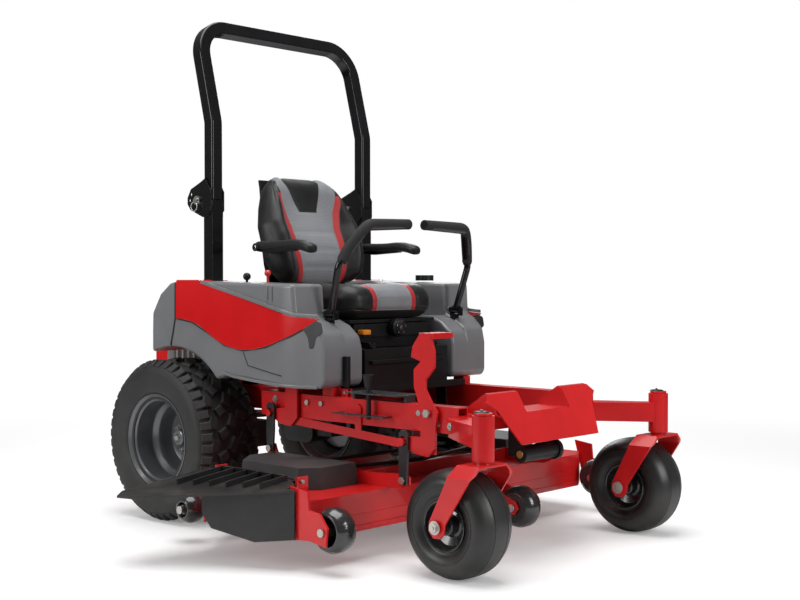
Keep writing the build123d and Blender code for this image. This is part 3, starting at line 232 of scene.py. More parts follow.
def cells(scale, depth=1.0):
    """Leather or moulded grain: small rounded cells with creases between them, the creases darkened with
    painted shade.
    """
    def apply(tree, height, tint, roughness):
        dome = map_range(tree, cell_distance(tree, scale), 0.1, 0.65, 1.0, 0.0)
        rise = value_math(tree, "ADD", value_math(tree, "MULTIPLY", dome, depth), value_math(
            tree, "MULTIPLY", height, 0.35))
        # painted shade: the creases between the cells are mixed towards black
        crease_shade = map_range(tree, dome, 0.0, 0.5, 0.25, 0.0)
        return rise, colour_mix(tree, crease_shade, tint, (0.0, 0.0, 0.0)), roughness
    return apply


def perforated(scale):
    """Rows of small holes through a soft cover, the holes darkened with painted shade."""
    def apply(tree, height, tint, roughness):
        hole = map_range(tree, cell_distance(tree, scale, 0.0), 0.16, 0.26, 1.0, 0.0)
        rise = value_math(tree, "SUBTRACT", value_math(tree, "MULTIPLY", height, 0.5), hole)
        # painted shade: the holes are mixed towards near-black
        shade = value_math(tree, "MULTIPLY", hole, 0.75)
        return rise, colour_mix(tree, shade, tint, (0.02, 0.02, 0.02)), roughness
    return apply


RED = (0.62, 0.010, 0.012)
red_paint = surface("red_paint", RED, 0.34, coat=0.30, specular=0.35, vary=0.07, fine=260, bump=0.08,
                    wear=(0.30, 0.05, 0.04), wear_amount=0.35, dust=0.10, dust_top=0.35)
black_paint = surface("black_paint", (0.004, 0.004, 0.005), 0.22, coat=0.12, vary=0.25, specular=0.4,
                      fine=320, bump=0.10, wear=0.10, wear_amount=0.5)
pod_plastic = surface("pod_plastic", (0.178, 0.181, 0.189), 0.33, vary=0.06, fine=900, bump=0.22,
                      coat=0.15, bump_depth=0.0002, rough_vary=0.08, wear=0.2, wear_amount=0.25)
pod_red = surface("pod_red", (0.62, 0.008, 0.010), 0.24, coat=0.35, specular=0.35, vary=0.05, fine=400,
                  bump=0.05)
# near-black painted shade for seams, the recess groove and the wheel slots, and the black of the drive wheel
# valve stem
gap_shade_and_stem_black = surface("gap_shade_and_stem_black", 0.012, 0.6, vary=0.3)
black_plastic = surface("black_plastic", (0.006, 0.006, 0.007), 0.38, vary=0.25, specular=0.35, fine=1100,
                        bump=0.35, bump_depth=0.0003, wear=0.08, wear_amount=0.35, dust=0.10,
                        dust_top=0.4, pattern=cells(900, 0.6))
charcoal = surface("charcoal", (0.038, 0.039, 0.041), 0.50, vary=0.18, fine=700, bump=0.35, dust=0.22,
                   dust_top=0.5, wear=0.12, wear_amount=0.3, pattern=cells(700, 0.5))
chute_rubber = surface("chute_rubber", (0.012, 0.012, 0.013), 0.36, vary=0.25, fine=500, bump=0.3,
                       dust=0.2, dust_top=0.5, wear=0.10, wear_amount=0.5)
drive_rubber = surface("drive_rubber", 0.016, 0.62, vary=0.30, fine=420, bump=0.45, bump_depth=0.0008,
                       dust=0.35, dust_top=0.62, wear=(0.07, 0.07, 0.068), wear_amount=0.8)
caster_rubber = surface("caster_rubber", 0.014, 0.38, vary=0.30, fine=420, bump=0.25, dust=0.25,
                        dust_top=0.34, wear=0.06, wear_amount=0.5)
rim_grey = surface("rim_grey", (0.16, 0.165, 0.175), 0.34, metallic=0.55, coat=0.25, vary=0.08, fine=350,
                   bump=0.1, wear=0.35, wear_amount=0.3, dust=0.12, dust_top=0.6)
rim_black = surface("rim_black", (0.018, 0.018, 0.019), 0.22, coat=0.5, vary=0.2, fine=350, bump=0.1,
                    wear=0.10, wear_amount=0.4, dust=0.15, dust_top=0.34)
zinc = surface("zinc", (0.55, 0.54, 0.50), 0.34, metallic=1.0, vary=0.15, fine=500, bump=0.2,
               rough_vary=0.25)
chrome = surface("chrome", (0.75, 0.75, 0.76), 0.12, metallic=1.0, vary=0.05, fine=500, bump=0.05)
brass = surface("brass", (0.60, 0.40, 0.13), 0.32, metallic=1.0, vary=0.2, fine=400, bump=0.2)
dark_steel = surface("dark_steel", (0.045, 0.045, 0.048), 0.38, metallic=0.6, vary=0.25, fine=380,
                     bump=0.3, wear=(0.28, 0.27, 0.25), wear_amount=0.7, dust=0.2, dust_top=0.5)
cast_alloy = surface("cast_alloy", 0.34, 0.5, metallic=0.9, vary=0.2, fine=260, bump=0.6)
blade_steel = surface("blade_steel", (0.30, 0.28, 0.26), 0.4, metallic=1.0, vary=0.3, fine=300, bump=0.4)
belt_rubber = surface("belt_rubber", (0.05, 0.035, 0.026), 0.7, vary=0.3, fine=600, bump=0.5)
vinyl = surface("vinyl", (0.007, 0.007, 0.008), 0.34, specular=0.38, vary=0.25, fine=800, bump=0.5,
                bump_depth=0.0005, sheen=0.05, pattern=cells(620))
grey_cover = surface("grey_cover", (0.195, 0.204, 0.218), 0.62, vary=0.10, fine=900, bump=0.6, sheen=0.25,
                     bump_depth=0.0006, pattern=perforated(190))
red_cover = surface("red_cover", (0.50, 0.012, 0.016), 0.45, vary=0.10, fine=800, bump=0.5,
                    bump_depth=0.0005, sheen=0.1, pattern=cells(620))
foam = surface("foam", 0.014, 0.75, vary=0.3, fine=900, bump=0.7, bump_depth=0.0008)
amber = surface("amber", (0.80, 0.26, 0.02), 0.25, coat=0.4, vary=0.08, fine=500, bump=0.05)
knob_red = surface("knob_red", (0.62, 0.02, 0.015), 0.3, coat=0.4, vary=0.08, fine=500, bump=0.05)


# ------------------------------------------------------------------ shape parts
def in_scene(name, data):
    thing = bpy.data.objects.new(name, data)
    bpy.context.scene.collection.objects.link(thing)
    return thing


def as_piece(name, bm, body, materials, sharp=32.0, replaces=(), weighted=True, flip_check=True):
    """Turns a bmesh drawn from the axle into a finished piece on a body."""
    if flip_check:
        bmesh.ops.recalc_face_normals(bm, faces=bm.faces)
    bmesh.ops.translate(bm, verts=bm.verts, vec=HOME)
    limit = radians(sharp)
    for face in bm.faces:
        face.smooth = True
    for edge in bm.edges:
        edge.smooth = len(edge.link_faces) == 2 and edge.calc_face_angle(0.0) < limit
    mesh = bpy.data.meshes.new(name)
    bm.to_mesh(mesh)
    bm.free()
    piece = in_scene(name, mesh)
    for material in materials if isinstance(materials, (list, tuple)) else [materials]:
        mesh.materials.append(material)
    if weighted:
        modifier = piece.modifiers.new("weighted", "WEIGHTED_NORMAL")
        modifier.keep_sharp = True
    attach(piece, body)
    if replaces:
        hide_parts(*([replaces] if isinstance(replaces, str) else replaces))
    return piece


def round_edges(bm, width, segments=2, angle=30.0, edges=None):
    chosen = edges if edges is not None else [
        e for e in bm.edges if len(e.link_faces) == 2 and e.calc_face_angle(0.0) > radians(angle)]
    if chosen:
        bmesh.ops.bevel(bm, geom=chosen, offset=width, offset_type="OFFSET", segments=segments, profile=0.5,
                        affect="EDGES", clamp_overlap=True, material=-1)


def cad_shape(node, merge_flats=True):
    """A CAD node's shape as a bmesh, drawn from the axle."""
    bm = bmesh.new()
    bm.from_mesh(frame["nodes"][node].data)
    bmesh.ops.remove_doubles(bm, verts=bm.verts, dist=0.00002)
    if merge_flats:
        bmesh.ops.dissolve_limit(bm, angle_limit=radians(1.0), verts=bm.verts, edges=bm.edges)
    bmesh.ops.translate(bm, verts=bm.verts, vec=-HOME)
    return bm


BODY_OF = {node: body for body, nodes in frame["record"]["behaviour"]["bodies"].items() for node in nodes}


def softened(name, node, material, width):
    """A CAD node with its corners eased, on its own body."""
    bm = cad_shape(node)
    if width:
        round_edges(bm, width, angle=35.0)
    return as_piece(name, bm, BODY_OF[node], material, replaces=node)


AXES = {"x": (1, 2, 0), "y": (0, 2, 1), "z": (0, 1, 2)}


def plate(outline, axis, low, high, edge=0.0015, corner=0.0, segments=2):
    """A plate with its outline in the two other directions, in metres, and eased edges."""
    first, second, third = AXES[axis]
    bm = bmesh.new()
    verts = []
    for a, b in outline:
        point = [0.0, 0.0, 0.0]
        point[first], point[second], point[third] = a, b, low
        verts.append(bm.verts.new(point))
    face = bm.faces.new(verts)
    step = Vector((0, 0, 0))
    step[third] = high - low
    grown = bmesh.ops.extrude_face_region(bm, geom=[face])
    bmesh.ops.translate(bm, verts=[v for v in grown["geom"] if isinstance(v, bmesh.types.BMVert)], vec=step)
    bmesh.ops.recalc_face_normals(bm, faces=bm.faces)
    if corner:
        standing = [
            e for e in bm.edges
            if abs(abs((e.verts[0].co - e.verts[1].co)[third]) - abs(high - low)) < 1e-7
            and e.calc_face_angle(0.0) > radians(12)]
        round_edges(bm, corner, 5, edges=standing)
    if edge:
        round_edges(bm, edge, segments, 30.0)
    return bm


def slab(x, y, z, edge):
    return plate([(x[0], y[0]), (x[1], y[0]), (x[1], y[1]), (x[0], y[1])], "z", *z, edge)


def rod(start, end, radius, end_radius=None, sides=32, edge=0.001):
    start, end = Vector(start), Vector(end)
    bm = bmesh.new()
    along = end - start
    bmesh.ops.create_cone(bm, cap_ends=True, segments=sides, radius1=radius,
                          radius2=radius if end_radius is None else end_radius, depth=along.length)
    if edge:
        round_edges(bm, edge, 2, 50.0)
    turn = along.to_track_quat("Z", "Y").to_matrix().to_4x4()
    bmesh.ops.transform(bm, matrix=Matrix.Translation((start + end) / 2) @ turn, verts=bm.verts)
    return bm


def ring_of(points, steps=96):
    """A closed ring about Y: points are radius and distance along the axis, spun a full turn."""
    bm = bmesh.new()
    verts = [bm.verts.new((r, a, 0)) for r, a in points]
    edges = [bm.edges.new((verts[i], verts[(i + 1) % len(verts)])) for i in range(len(verts))]
    bmesh.ops.spin(bm, geom=verts + edges, cent=(0, 0, 0), axis=(0, 1, 0), dvec=(0, 0, 0), angle=2 * pi,
                   steps=steps, use_merge=True, use_duplicate=False)
    bmesh.ops.remove_doubles(bm, verts=bm.verts, dist=1e-6)
    bmesh.ops.recalc_face_normals(bm, faces=bm.faces)
    return bm


def join(*parts):
    """One bmesh from several; each may come with the number of its material."""
    whole = bmesh.new()
    for part in parts:
        part, index = part if isinstance(part, tuple) else (part, None)
        if index is not None:
            for face in part.faces:
                face.material_index = index
        mesh = bpy.data.meshes.new("part")
        part.to_mesh(mesh)
        part.free()
        whole.from_mesh(mesh)
        bpy.data.meshes.remove(mesh)
    return whole


def moved(bm, matrix):
    bmesh.ops.transform(bm, matrix=matrix, verts=bm.verts)
    return bm


def copies_round(bm, count):
    """Repeats a shape round the Y axis through the origin."""
    bmesh.ops.spin(bm, geom=bm.verts[:] + bm.edges[:] + bm.faces[:], cent=(0, 0, 0), axis=(0, 1, 0),
                   dvec=(0, 0, 0), angle=2 * pi * (count - 1) / count, steps=count - 1, use_duplicate=True)
    return bm


def other_side(bm):
    """The same shape mirrored across the centreline."""
    bmesh.ops.scale(bm, vec=(1, -1, 1), verts=bm.verts)
    bmesh.ops.reverse_faces(bm, faces=bm.faces)
    return bm


def tube_along(points, radius):
    """A round tube on a smooth line through its guide points."""
    curve = bpy.data.curves.new("line", "CURVE")
    curve.dimensions = "3D"
    curve.bevel_depth = radius
    curve.bevel_resolution = 8
    curve.resolution_u = 10
    curve.use_fill_caps = True
    line = curve.splines.new("NURBS")
    line.points.add(len(points) - 1)
    for point, place in zip(line.points, points):
        point.co = (*place, 1)
    line.order_u = 3
    line.use_endpoint_u = True
    carrier = bpy.data.objects.new("line", curve)
    mesh = bpy.data.meshes.new_from_object(carrier)
    bm = bmesh.new()
    bm.from_mesh(mesh)
    bmesh.ops.remove_doubles(bm, verts=bm.verts, dist=1e-6)
    bpy.data.objects.remove(carrier)
    bpy.data.curves.remove(curve)
    bpy.data.meshes.remove(mesh)
    return bm


def hex_bolt(place, direction, across, height):
    """Hexagon head on a washer, its foot at place, facing along direction."""
    parts = []
    for sides, low, high, depth, middle_z, edge, steps in (
            (6, across / 2 * 1.155, across / 2 * 1.155, height, height / 2 + 0.0015, 0.0009, 2),
            (24, across * 0.8, across * 0.8, 0.0018, 0.0009, 0.0004, 1),
            (16, across * 0.28, across * 0.25, 0.004, height + 0.0025, 0.0, 1)):
        part = bmesh.new()
        bmesh.ops.create_cone(part, cap_ends=True, segments=sides, radius1=low, radius2=high, depth=depth)
        bmesh.ops.translate(part, verts=part.verts, vec=(0, 0, middle_z))
        if edge:
            round_edges(part, edge, steps, 40.0)
        parts.append(part)
    turn = Vector(direction).to_track_quat("Z", "Y").to_matrix().to_4x4()
    return moved(join(*parts), Matrix.Translation(Vector(place)) @ turn)


# ------------------------------------------------------------------ drive wheels
tyre_low, tyre_high = span("drive_tyre_left")
TYRE_RADIUS = (tyre_high.x - tyre_low.x) / 2
TYRE_HALF = (tyre_high.y - tyre_low.y) / 2
TYRE_MIDDLE = middle("drive_tyre_left")


def tread_lug(across, along, place, lean, rise, radius):
    """One rubber block standing on the casing."""
    bm = bmesh.new()
    bmesh.ops.create_cube(bm, size=1.0)
    bmesh.ops.scale(bm, vec=(rise, across, along), verts=bm.verts)
    top = [v for v in bm.verts if v.co.x > 0]
    bmesh.ops.scale(bm, vec=(1, 0.84, 0.80), verts=top)
    bmesh.ops.bevel(bm, geom=[e for e in bm.edges if all(v.co.x > 0 for v in e.verts)], offset=0.0022,
                    offset_type="OFFSET", segments=1, profile=0.5, affect="EDGES", material=-1)
    bmesh.ops.rotate(bm, verts=bm.verts, cent=(0, 0, 0), matrix=Matrix.Rotation(lean, 3, "X"))
    bmesh.ops.translate(bm, verts=bm.verts, vec=(radius - rise / 2, place, 0))
    return bm


def drive_tyre():
    r, h = TYRE_RADIUS, TYRE_HALF
    edge = [
        (0.1505, 0.1180), (0.1720, 0.1190), (0.1760, 0.1280), (0.190, 0.1370), (0.215, h - 0.006),
        (0.240, h - 0.001), (0.258, h - 0.002), (0.272, h - 0.012), (0.281, h - 0.030),
        (r - 0.0165, h - 0.060), (r - 0.0150, 0.045),
    ]
    inner = [(r - 0.030, -0.05), (r - 0.035, 0.0), (r - 0.030, 0.05), (0.255, h - 0.020), (0.210, h - 0.018),
             (0.170, 0.108), (0.1505, 0.104)]
    outline = edge + [(a, -b) for a, b in reversed(edge)]
    far_inner = [(0.1505, -0.104), (0.170, -0.108), (0.210, 0.018 - h), (0.255, 0.020 - h)]
    casing = ring_of(outline + far_inner + inner, steps=108)
    pitch = 22
    parts = [casing]
    for row, (place, across, along, lean, rise) in enumerate((
            (0.000, 0.040, 0.058, 0.50, 0.021), (0.044, 0.044, 0.040, -0.45, 0.021),
            (0.086, 0.040, 0.052, 0.35, 0.020))):
        for side in ((1,) if row == 0 else (1, -1)):
            lug = tread_lug(across, along, side * place, side * lean, rise, r - 0.0006 - 0.05 * place)
            turn = (0.5 if row == 1 else 0.0) + (0.25 if side < 0 else 0.0)
            lug = moved(lug, Matrix.Rotation(turn * 2 * pi / pitch, 4, "Y"))
            parts.append(copies_round(lug, pitch))
    for side in (1, -1):
        for long_one in (0, 1):
            lug = tread_lug(0.046, 0.034, 0, 0, 0.020 if long_one else 0.017, 0.0)
            lug = moved(lug, Matrix.Rotation(side * radians(38), 4, "Z"))
            lug = moved(lug, Matrix.Translation((r - 0.0125, side * (h - 0.026), 0)))
            lug = moved(lug, Matrix.Rotation((long_one * 0.5 + 0.1) * 2 * pi / pitch, 4, "Y"))
            parts.append(copies_round(lug, pitch))
    for side in (1, -1):
        for radius in (0.196, 0.226):
            bead = ring_of([(radius - 0.002, side * (h - 0.018)), (radius - 0.002, side * (h - 0.0075)),
                            (radius, side * (h - 0.0065)), (radius + 0.002, side * (h - 0.0075)),
                            (radius + 0.002, side * (h - 0.018))], steps=108)
            if radius < 0.2:
                bmesh.ops.translate(bead, verts=bead.verts, vec=(0, side * -0.006, 0))
            parts.append(bead)
    return join(*parts)


def drive_rim():
    """Deep dish wheel, seen from its outer side at +Y."""
    shell = ring_of([
        (0.1720, 0.1280), (0.1690, 0.1285), (0.1655, 0.1240), (0.1600, 0.1170), (0.1485, 0.1130),
        (0.1445, 0.1080), (0.1445, 0.0420), (0.1400, 0.0340), (0.1270, 0.0260), (0.1215, 0.0180),
        (0.1200, 0.0000), (0.1180, -0.0220), (0.1120, -0.0320), (0.1000, -0.0345), (0.0850, -0.0330),
        (0.0620, -0.0330), (0.0440, -0.0330), (0.0440, -0.0430), (0.0850, -0.0430), (0.1150, -0.0420),
        (0.1270, -0.0300), (0.1280, 0.0100), (0.1450, 0.0280), (0.1495, 0.0400), (0.1495, 0.1060),
        (0.1600, 0.1120), (0.1720, 0.1200),
    ], steps=96)
    back = ring_of([
        (0.1720, -0.1280), (0.1690, -0.1285), (0.1600, -0.1170), (0.1445, -0.1080), (0.1300, -0.0300),
        (0.1350, -0.0300), (0.1495, -0.1060), (0.1600, -0.1120), (0.1720, -0.1200),
    ], steps=96)
    hub = ring_of([
        (0.0001, 0.0290), (0.0260, 0.0290), (0.0300, 0.0265), (0.0310, 0.0220), (0.0310, 0.0020),
        (0.0420, -0.0020), (0.0450, -0.0060), (0.0450, -0.0330), (0.0001, -0.0330),
    ], steps=48)
    parts = [(shell, 0), (back, 0), (hub, 0)]
    for index in range(5):
        angle = 2 * pi * index / 5 + 0.3
        bolt = hex_bolt((0.072 * cos(angle), -0.033, 0.072 * sin(angle)), (0, 1, 0), 0.021, 0.013)
        parts.append((bolt, 1))
        angle += pi / 5
        # Each slot in the wheel face is a near-black disc of painted shade.
        slot = rod((0.096 * cos(angle), -0.040, 0.096 * sin(angle)),
                   (0.096 * cos(angle), -0.0326, 0.096 * sin(angle)), 0.011, sides=24, edge=0.0)
        parts.append((slot, 2))
    cap = ring_of(
        [(0.0001, 0.0360), (0.0100, 0.0360), (0.0130, 0.0330), (0.0140, 0.0290), (0.0001, 0.0290)], 32)
    stem = rod((0.150, 0.060, 0), (0.128, 0.080, 0), 0.004, 0.003, sides=12)
    parts += [(cap, 1), (stem, 2)]
    return join(*parts)


for side, sign in (("left", 1), ("right", -1)):
    place = Vector((TYRE_MIDDLE.x, sign * TYRE_MIDDLE.y, TYRE_MIDDLE.z))
    tyre, rim = drive_tyre(), drive_rim()
    if sign < 0:
        tyre, rim = other_side(tyre), other_side(rim)
    body = "drive_wheel_" + side
    as_piece("tyre_drive_" + side, moved(tyre, Matrix.Translation(place)), body, drive_rubber,
             replaces="drive_tyre_" + side, flip_check=False, sharp=38)
    as_piece("rim_drive_" + side, moved(rim, Matrix.Translation(place)), body, [rim_grey, zinc, gap_shade_and_stem_black],
             replaces="drive_rim_" + side, flip_check=False)

# ------------------------------------------------------------------ caster wheels
caster_low, caster_high = span("caster_wheel_left")
CASTER_RADIUS = (caster_high.x - caster_low.x) / 2
CASTER_HALF = (caster_high.y - caster_low.y) / 2


def caster_tyre():
    r, h = CASTER_RADIUS, CASTER_HALF
    side = [
        (0.0775, h - 0.018), (0.0850, h - 0.0175), (0.0900, h - 0.0145), (0.0960, h - 0.0070),
        (0.1080, h - 0.0020), (0.1230, h), (0.1370, h - 0.0035), (0.1480, h - 0.0120),
        (0.1560, h - 0.0240), (0.1610, h - 0.0360),
        (r - 0.0028, 0.0410), (r - 0.0010, 0.0330),
    ]
    crown = [(r - 0.0032, 0.0300), (r - 0.0006, 0.0275), (r, 0.0120), (r, -0.0120), (r - 0.0006, -0.0275),
             (r - 0.0032, -0.0300)]
    outline = side + crown + [(a, -b) for a, b in reversed(side)]
    tyre = ring_of(outline, steps=96)
    parts = [(tyre, 0)]
    for sign in (1, -1):
        line = ring_of([
            (0.1130, sign * (h - 0.004)), (0.1145, sign * (h + 0.0004)), (0.1160, sign * (h - 0.004))])
        parts.append((line, 0))
    rim = []
    for sign in (1, -1):
        rim.append(ring_of([(a, sign * b) for a, b in (
            (0.0770, h - 0.0160), (0.0790, h - 0.0120), (0.0765, h - 0.0105), (0.0735, h - 0.0130),
            (0.0700, h - 0.0330), (0.0640, h - 0.0440), (0.0400, h - 0.0510), (0.0320, h - 0.0480),
            (0.0300, h - 0.0200), (0.0260, h - 0.0170), (0.0210, h - 0.0170), (0.0210, h - 0.0560),
            (0.0560, h - 0.0560), (0.0740, h - 0.0360), (0.0770, h - 0.0250))], steps=72))
    hub = ring_of([(0.0105, h - 0.006), (0.0205, h - 0.006), (0.0220, h - 0.009), (0.0220, 0.009 - h),
                   (0.0205, 0.006 - h), (0.0105, 0.006 - h)], steps=36)
    parts += [(part, 1) for part in rim] + [(hub, 1)]
    stem = rod((0.060, h - 0.045, 0), (0.068, h - 0.020, 0), 0.0040, 0.0030, sides=12)
    parts.append((stem, 0))
    return join(*parts)


for side, sign in (("left", 1), ("right", -1)):
    place = middle("caster_wheel_" + side)
    wheel = caster_tyre()
    if sign < 0:
        wheel = other_side(wheel)
    as_piece("wheel_caster_" + side, moved(wheel, Matrix.Translation(place)), "caster_wheel_" + side,
             [caster_rubber, rim_black], replaces="caster_wheel_" + side, flip_check=False)
    softened("fork_caster_" + side, "caster_fork_" + side, red_paint, 0.0025)
    fork_low, fork_high = span("caster_fork_" + side)
    pivot_x = fork_high.x - 0.045
    ends = [hex_bolt((place.x, y, place.z), (0, 1 if y > place.y else -1, 0), 0.026, 0.009)
            for y in (fork_low.y, fork_high.y)]
    cap = rod((pivot_x, place.y, fork_high.z), (pivot_x, place.y, fork_high.z + 0.004), 0.026, 0.020)
    nipple = rod((pivot_x, place.y, fork_high.z + 0.004), (pivot_x, place.y, fork_high.z + 0.010), 0.004)
    as_piece("hardware_caster_" + side, join(*[(bolt, 0) for bolt in ends], (cap, 1), (nipple, 0)),
             "caster_fork_" + side, [zinc, black_plastic])

# ------------------------------------------------------------------ plain metal and moulded parts
EASED = [
    ("main_frame", red_paint, 0.003), ("front_guard", red_paint, 0.002),
    ("foot_platform", dark_steel, 0.001), ("height_plates", dark_steel, 0.0008),
    ("seat_console", black_plastic, 0.003), ("rops_posts", black_paint, 0.0025),
    ("chassis_bolts", zinc, 0.0008), ("engine_block", cast_alloy, 0.002),
    ("engine_covers", black_plastic, 0.004), ("muffler", dark_steel, 0.003),
    ("transaxles", dark_steel, 0.003), ("front_isolator", black_plastic, 0.0015),
    ("deck_shell", red_paint, 0.003), ("belt_covers", charcoal, 0.006),
    ("spindle_housings", dark_steel, 0.002), ("deck_belt", belt_rubber, 0.001),
    ("deck_bolts", zinc, 0.0008), ("discharge_chute", chute_rubber, 0.002),
    ("front_hangers", dark_steel, 0.001), ("rear_hangers", dark_steel, 0.001),
    ("lift_pedal", red_paint, 0.0018), ("rear_lift_shaft", red_paint, 0.0018),
    ("lift_rods", red_paint, 0.001), ("lever_base_left", black_paint, 0.0015),
    ("lever_base_right", black_paint, 0.0015), ("seat_base", black_plastic, 0.003),
    ("seat_carriage", black_plastic, 0.003), ("rops_hoop", black_paint, 0.0),
    ("brake_lever", black_plastic, 0.002), ("throttle_lever", black_plastic, 0.0),
    ("choke_lever", knob_red, 0.0), ("fuel_cap", black_plastic, 0.0015),
    ("height_pin", black_plastic, 0.001), ("seat_tab", amber, 0.004), ("blade_center", blade_steel, 0.001),
    ("blade_left", blade_steel, 0.001), ("blade_right", blade_steel, 0.001),
]
for node, material, width in EASED:
    softened(node + "_eased", node, material, width)

for node in ("roller_front_center", "roller_front_left", "roller_front_right", "roller_rear_left",
             "roller_rear_right"):
    softened(node + "_eased", node, rim_black, 0.0015)

# ------------------------------------------------------------------ small hardware
lip = slab((1.0185, 1.0235), (-0.688, 0.688), (0.0965, 0.1150), 0.0015)
weld = slab((1.0185, 1.0215), (-0.688, 0.688), (0.1500, 0.1525), 0.0008)
as_piece("lip_deck", join(lip, weld), "deck", red_paint)
damper_end = join((rod((1.350, 0.0895, 0.330), (1.350, 0.0950, 0.330), 0.0130, 0.0120), 0),
                  (hex_bolt((1.350, 0.0948, 0.330), (0, 1, 0), 0.013, 0.005), 1),
                  (rod((1.350, -0.1185, 0.330), (1.350, -0.1240, 0.330), 0.0130, 0.0120), 0))
as_piece("damper_ends", damper_end, "chassis", [brass, zinc])
for side, sign in (("right", -1), ("left", 1)):
    heads = [hex_bolt((x, sign * 0.375, z), (0, sign, 0), 0.016, 0.006)
             for x, z in ((0.455, 0.472), (0.520, 0.472), (1.215, 0.436), (1.270, 0.436))]
    as_piece("rail_bolts_" + side, join(*heads), "chassis", zinc)

# ------------------------------------------------------------------ seat
def ease(value, low, high):
    """0 below low, 1 above high, and a smooth rise between."""
    share = min(1.0, max(0.0, (value - low) / (high - low)))
    return share * share * (3 - 2 * share)


def through(value, *stops):
    """Straight-line value between (place, value) stops."""
    for (a, first), (b, second) in zip(stops, stops[1:]):
        if value <= b:
            return first + (second - first) * max(0.0, (value - a)) / (b - a)
    return stops[-1][1]


def padded_block(half, radius, cuts, columns):
    """A closed block with rounded corners; columns(a, b) moves the grid lines sideways.
    Local x is across, y is along, z is through the pad. Returns the bmesh and each vertex's grid place."""
    bm = bmesh.new()
    bmesh.ops.create_cube(bm, size=2.0)
    bmesh.ops.subdivide_edges(bm, edges=bm.edges[:], cuts=cuts, use_grid_fill=True)
    places = {}
    for vert in bm.verts:
        a, b, c = vert.co
        places[vert] = (a, b, c)
        point = Vector((columns(a, b) * half[0], b * half[1], c * half[2]))
        core = Vector([max(r - h, min(h - r, q)) for q, h, r in zip(point, half, radius)])
        out = Vector([(q - k) / r for q, k, r in zip(point, core, radius)])
        if out.length > 1e-9:
            longest = max(abs(v) for v in out)
            out = out.normalized() * longest
        vert.co = core + Vector([v * r for v, r in zip(out, radius)])
    return bm, places


def press(bm, places, dents):
    """Pushes seams and channels into the skin: dents(a, b, c) is the depth in metres."""
    bm.normal_update()
    moves = [(vert, vert.normal.copy(), dents(*places[vert])) for vert in bm.verts]
    for vert, normal, depth in moves:
        vert.co -= normal * depth


def line_dent(distance, width, depth):
    return depth * exp(-(distance / width) ** 2)


def paint_columns(bm, places, choose):
    """Gives each face the material number that choose(a, b, c) names for its grid place."""
    for face in bm.faces:
        a, b, c = (sum(places[v][i] for v in face.verts) / len(face.verts) for i in range(3))
        face.material_index = choose(a, b, c)


def seat_shell():
    """Seat pan and the shell behind the backrest, narrower towards its top."""
    bm = cad_shape("seat_shell")
    for cut in (0.95, 1.05, 1.12, 1.20, 1.25):
        bmesh.ops.bisect_plane(bm, geom=bm.verts[:] + bm.edges[:] + bm.faces[:], plane_co=(0, 0, cut),
                               plane_no=(0, 0, 1))
    for vert in bm.verts:
        vert.co.y *= 1 - 0.34 * ease(vert.co.z, 0.95, 1.30)
    round_edges(bm, 0.003)
    return bm


as_piece("seat_shell_eased", seat_shell(), "seat", black_plastic, replaces="seat_shell")

cushion_low, cushion_high = span("seat_cushion")
back_low, back_high = span("seat_backrest")
SEAT_HALF = (cushion_high.y - cushion_low.y) / 2


def seat_cushion():
    half = ((cushion_high.x - cushion_low.x) / 2, SEAT_HALF, (cushion_high.z - cushion_low.z) / 2)

    def columns(a, b):
        size = abs(a)
        s = through(size, (0.0, 0.0), (0.5, 0.46 - 0.05 * b), (0.6, 0.56 - 0.05 * b), (1.0, 1.0))
        return s if a > 0 else -s

    bm, places = padded_block((half[1], half[0], half[2]), (0.062, 0.070, 0.052), 39, columns)
    for vert in bm.verts:
        a, b, c = places[vert]
        top = ease(c, -0.2, 1.0)
        across = vert.co.x / half[1]
        bolster = exp(-((abs(across) - 0.80) / 0.20) ** 2) * 0.020 * ease(-b, -1.0, 0.2)
        crown = (1 - across ** 2) * (1 - (vert.co.y / half[0]) ** 2) * 0.010
        thigh = ease(b, 0.2, 0.75) * 0.012 - ease(-b, 0.35, 1.0) * 0.012
        vert.co.z += top * (bolster + crown + thigh) - 0.008 * top
        vert.co.x *= 1 - 0.06 * ease(b, 0.2, 1.0) - 0.03 * ease(-b, 0.5, 1.0)
        if c < -0.6:
            vert.co.z = max(vert.co.z, -half[2] + 0.001)

    def dents(a, b, c):
        if c < -0.5:
            return 0.0
        seams = line_dent(abs(a) - 0.5, 0.022, 0.0042) + line_dent(abs(a) - 0.6, 0.022, 0.0048)
        channel = (line_dent(b - 0.02, 0.05, 0.0035) + line_dent(b - 0.42, 0.05, 0.0035)) * (abs(a) < 0.49)
        welt = line_dent(c + 0.45, 0.05, 0.0030)
        return seams + channel + welt

    press(bm, places, dents)
    paint_columns(bm, places, lambda a, b, c: 0 if abs(a) > 0.6 or c < -0.5 else (2 if abs(a) > 0.5 else 1))
    turn = Matrix.Rotation(-pi / 2, 4, "Z")
    middle_point = (cushion_low + cushion_high) / 2
    return moved(bm, Matrix.Translation(middle_point) @ turn)


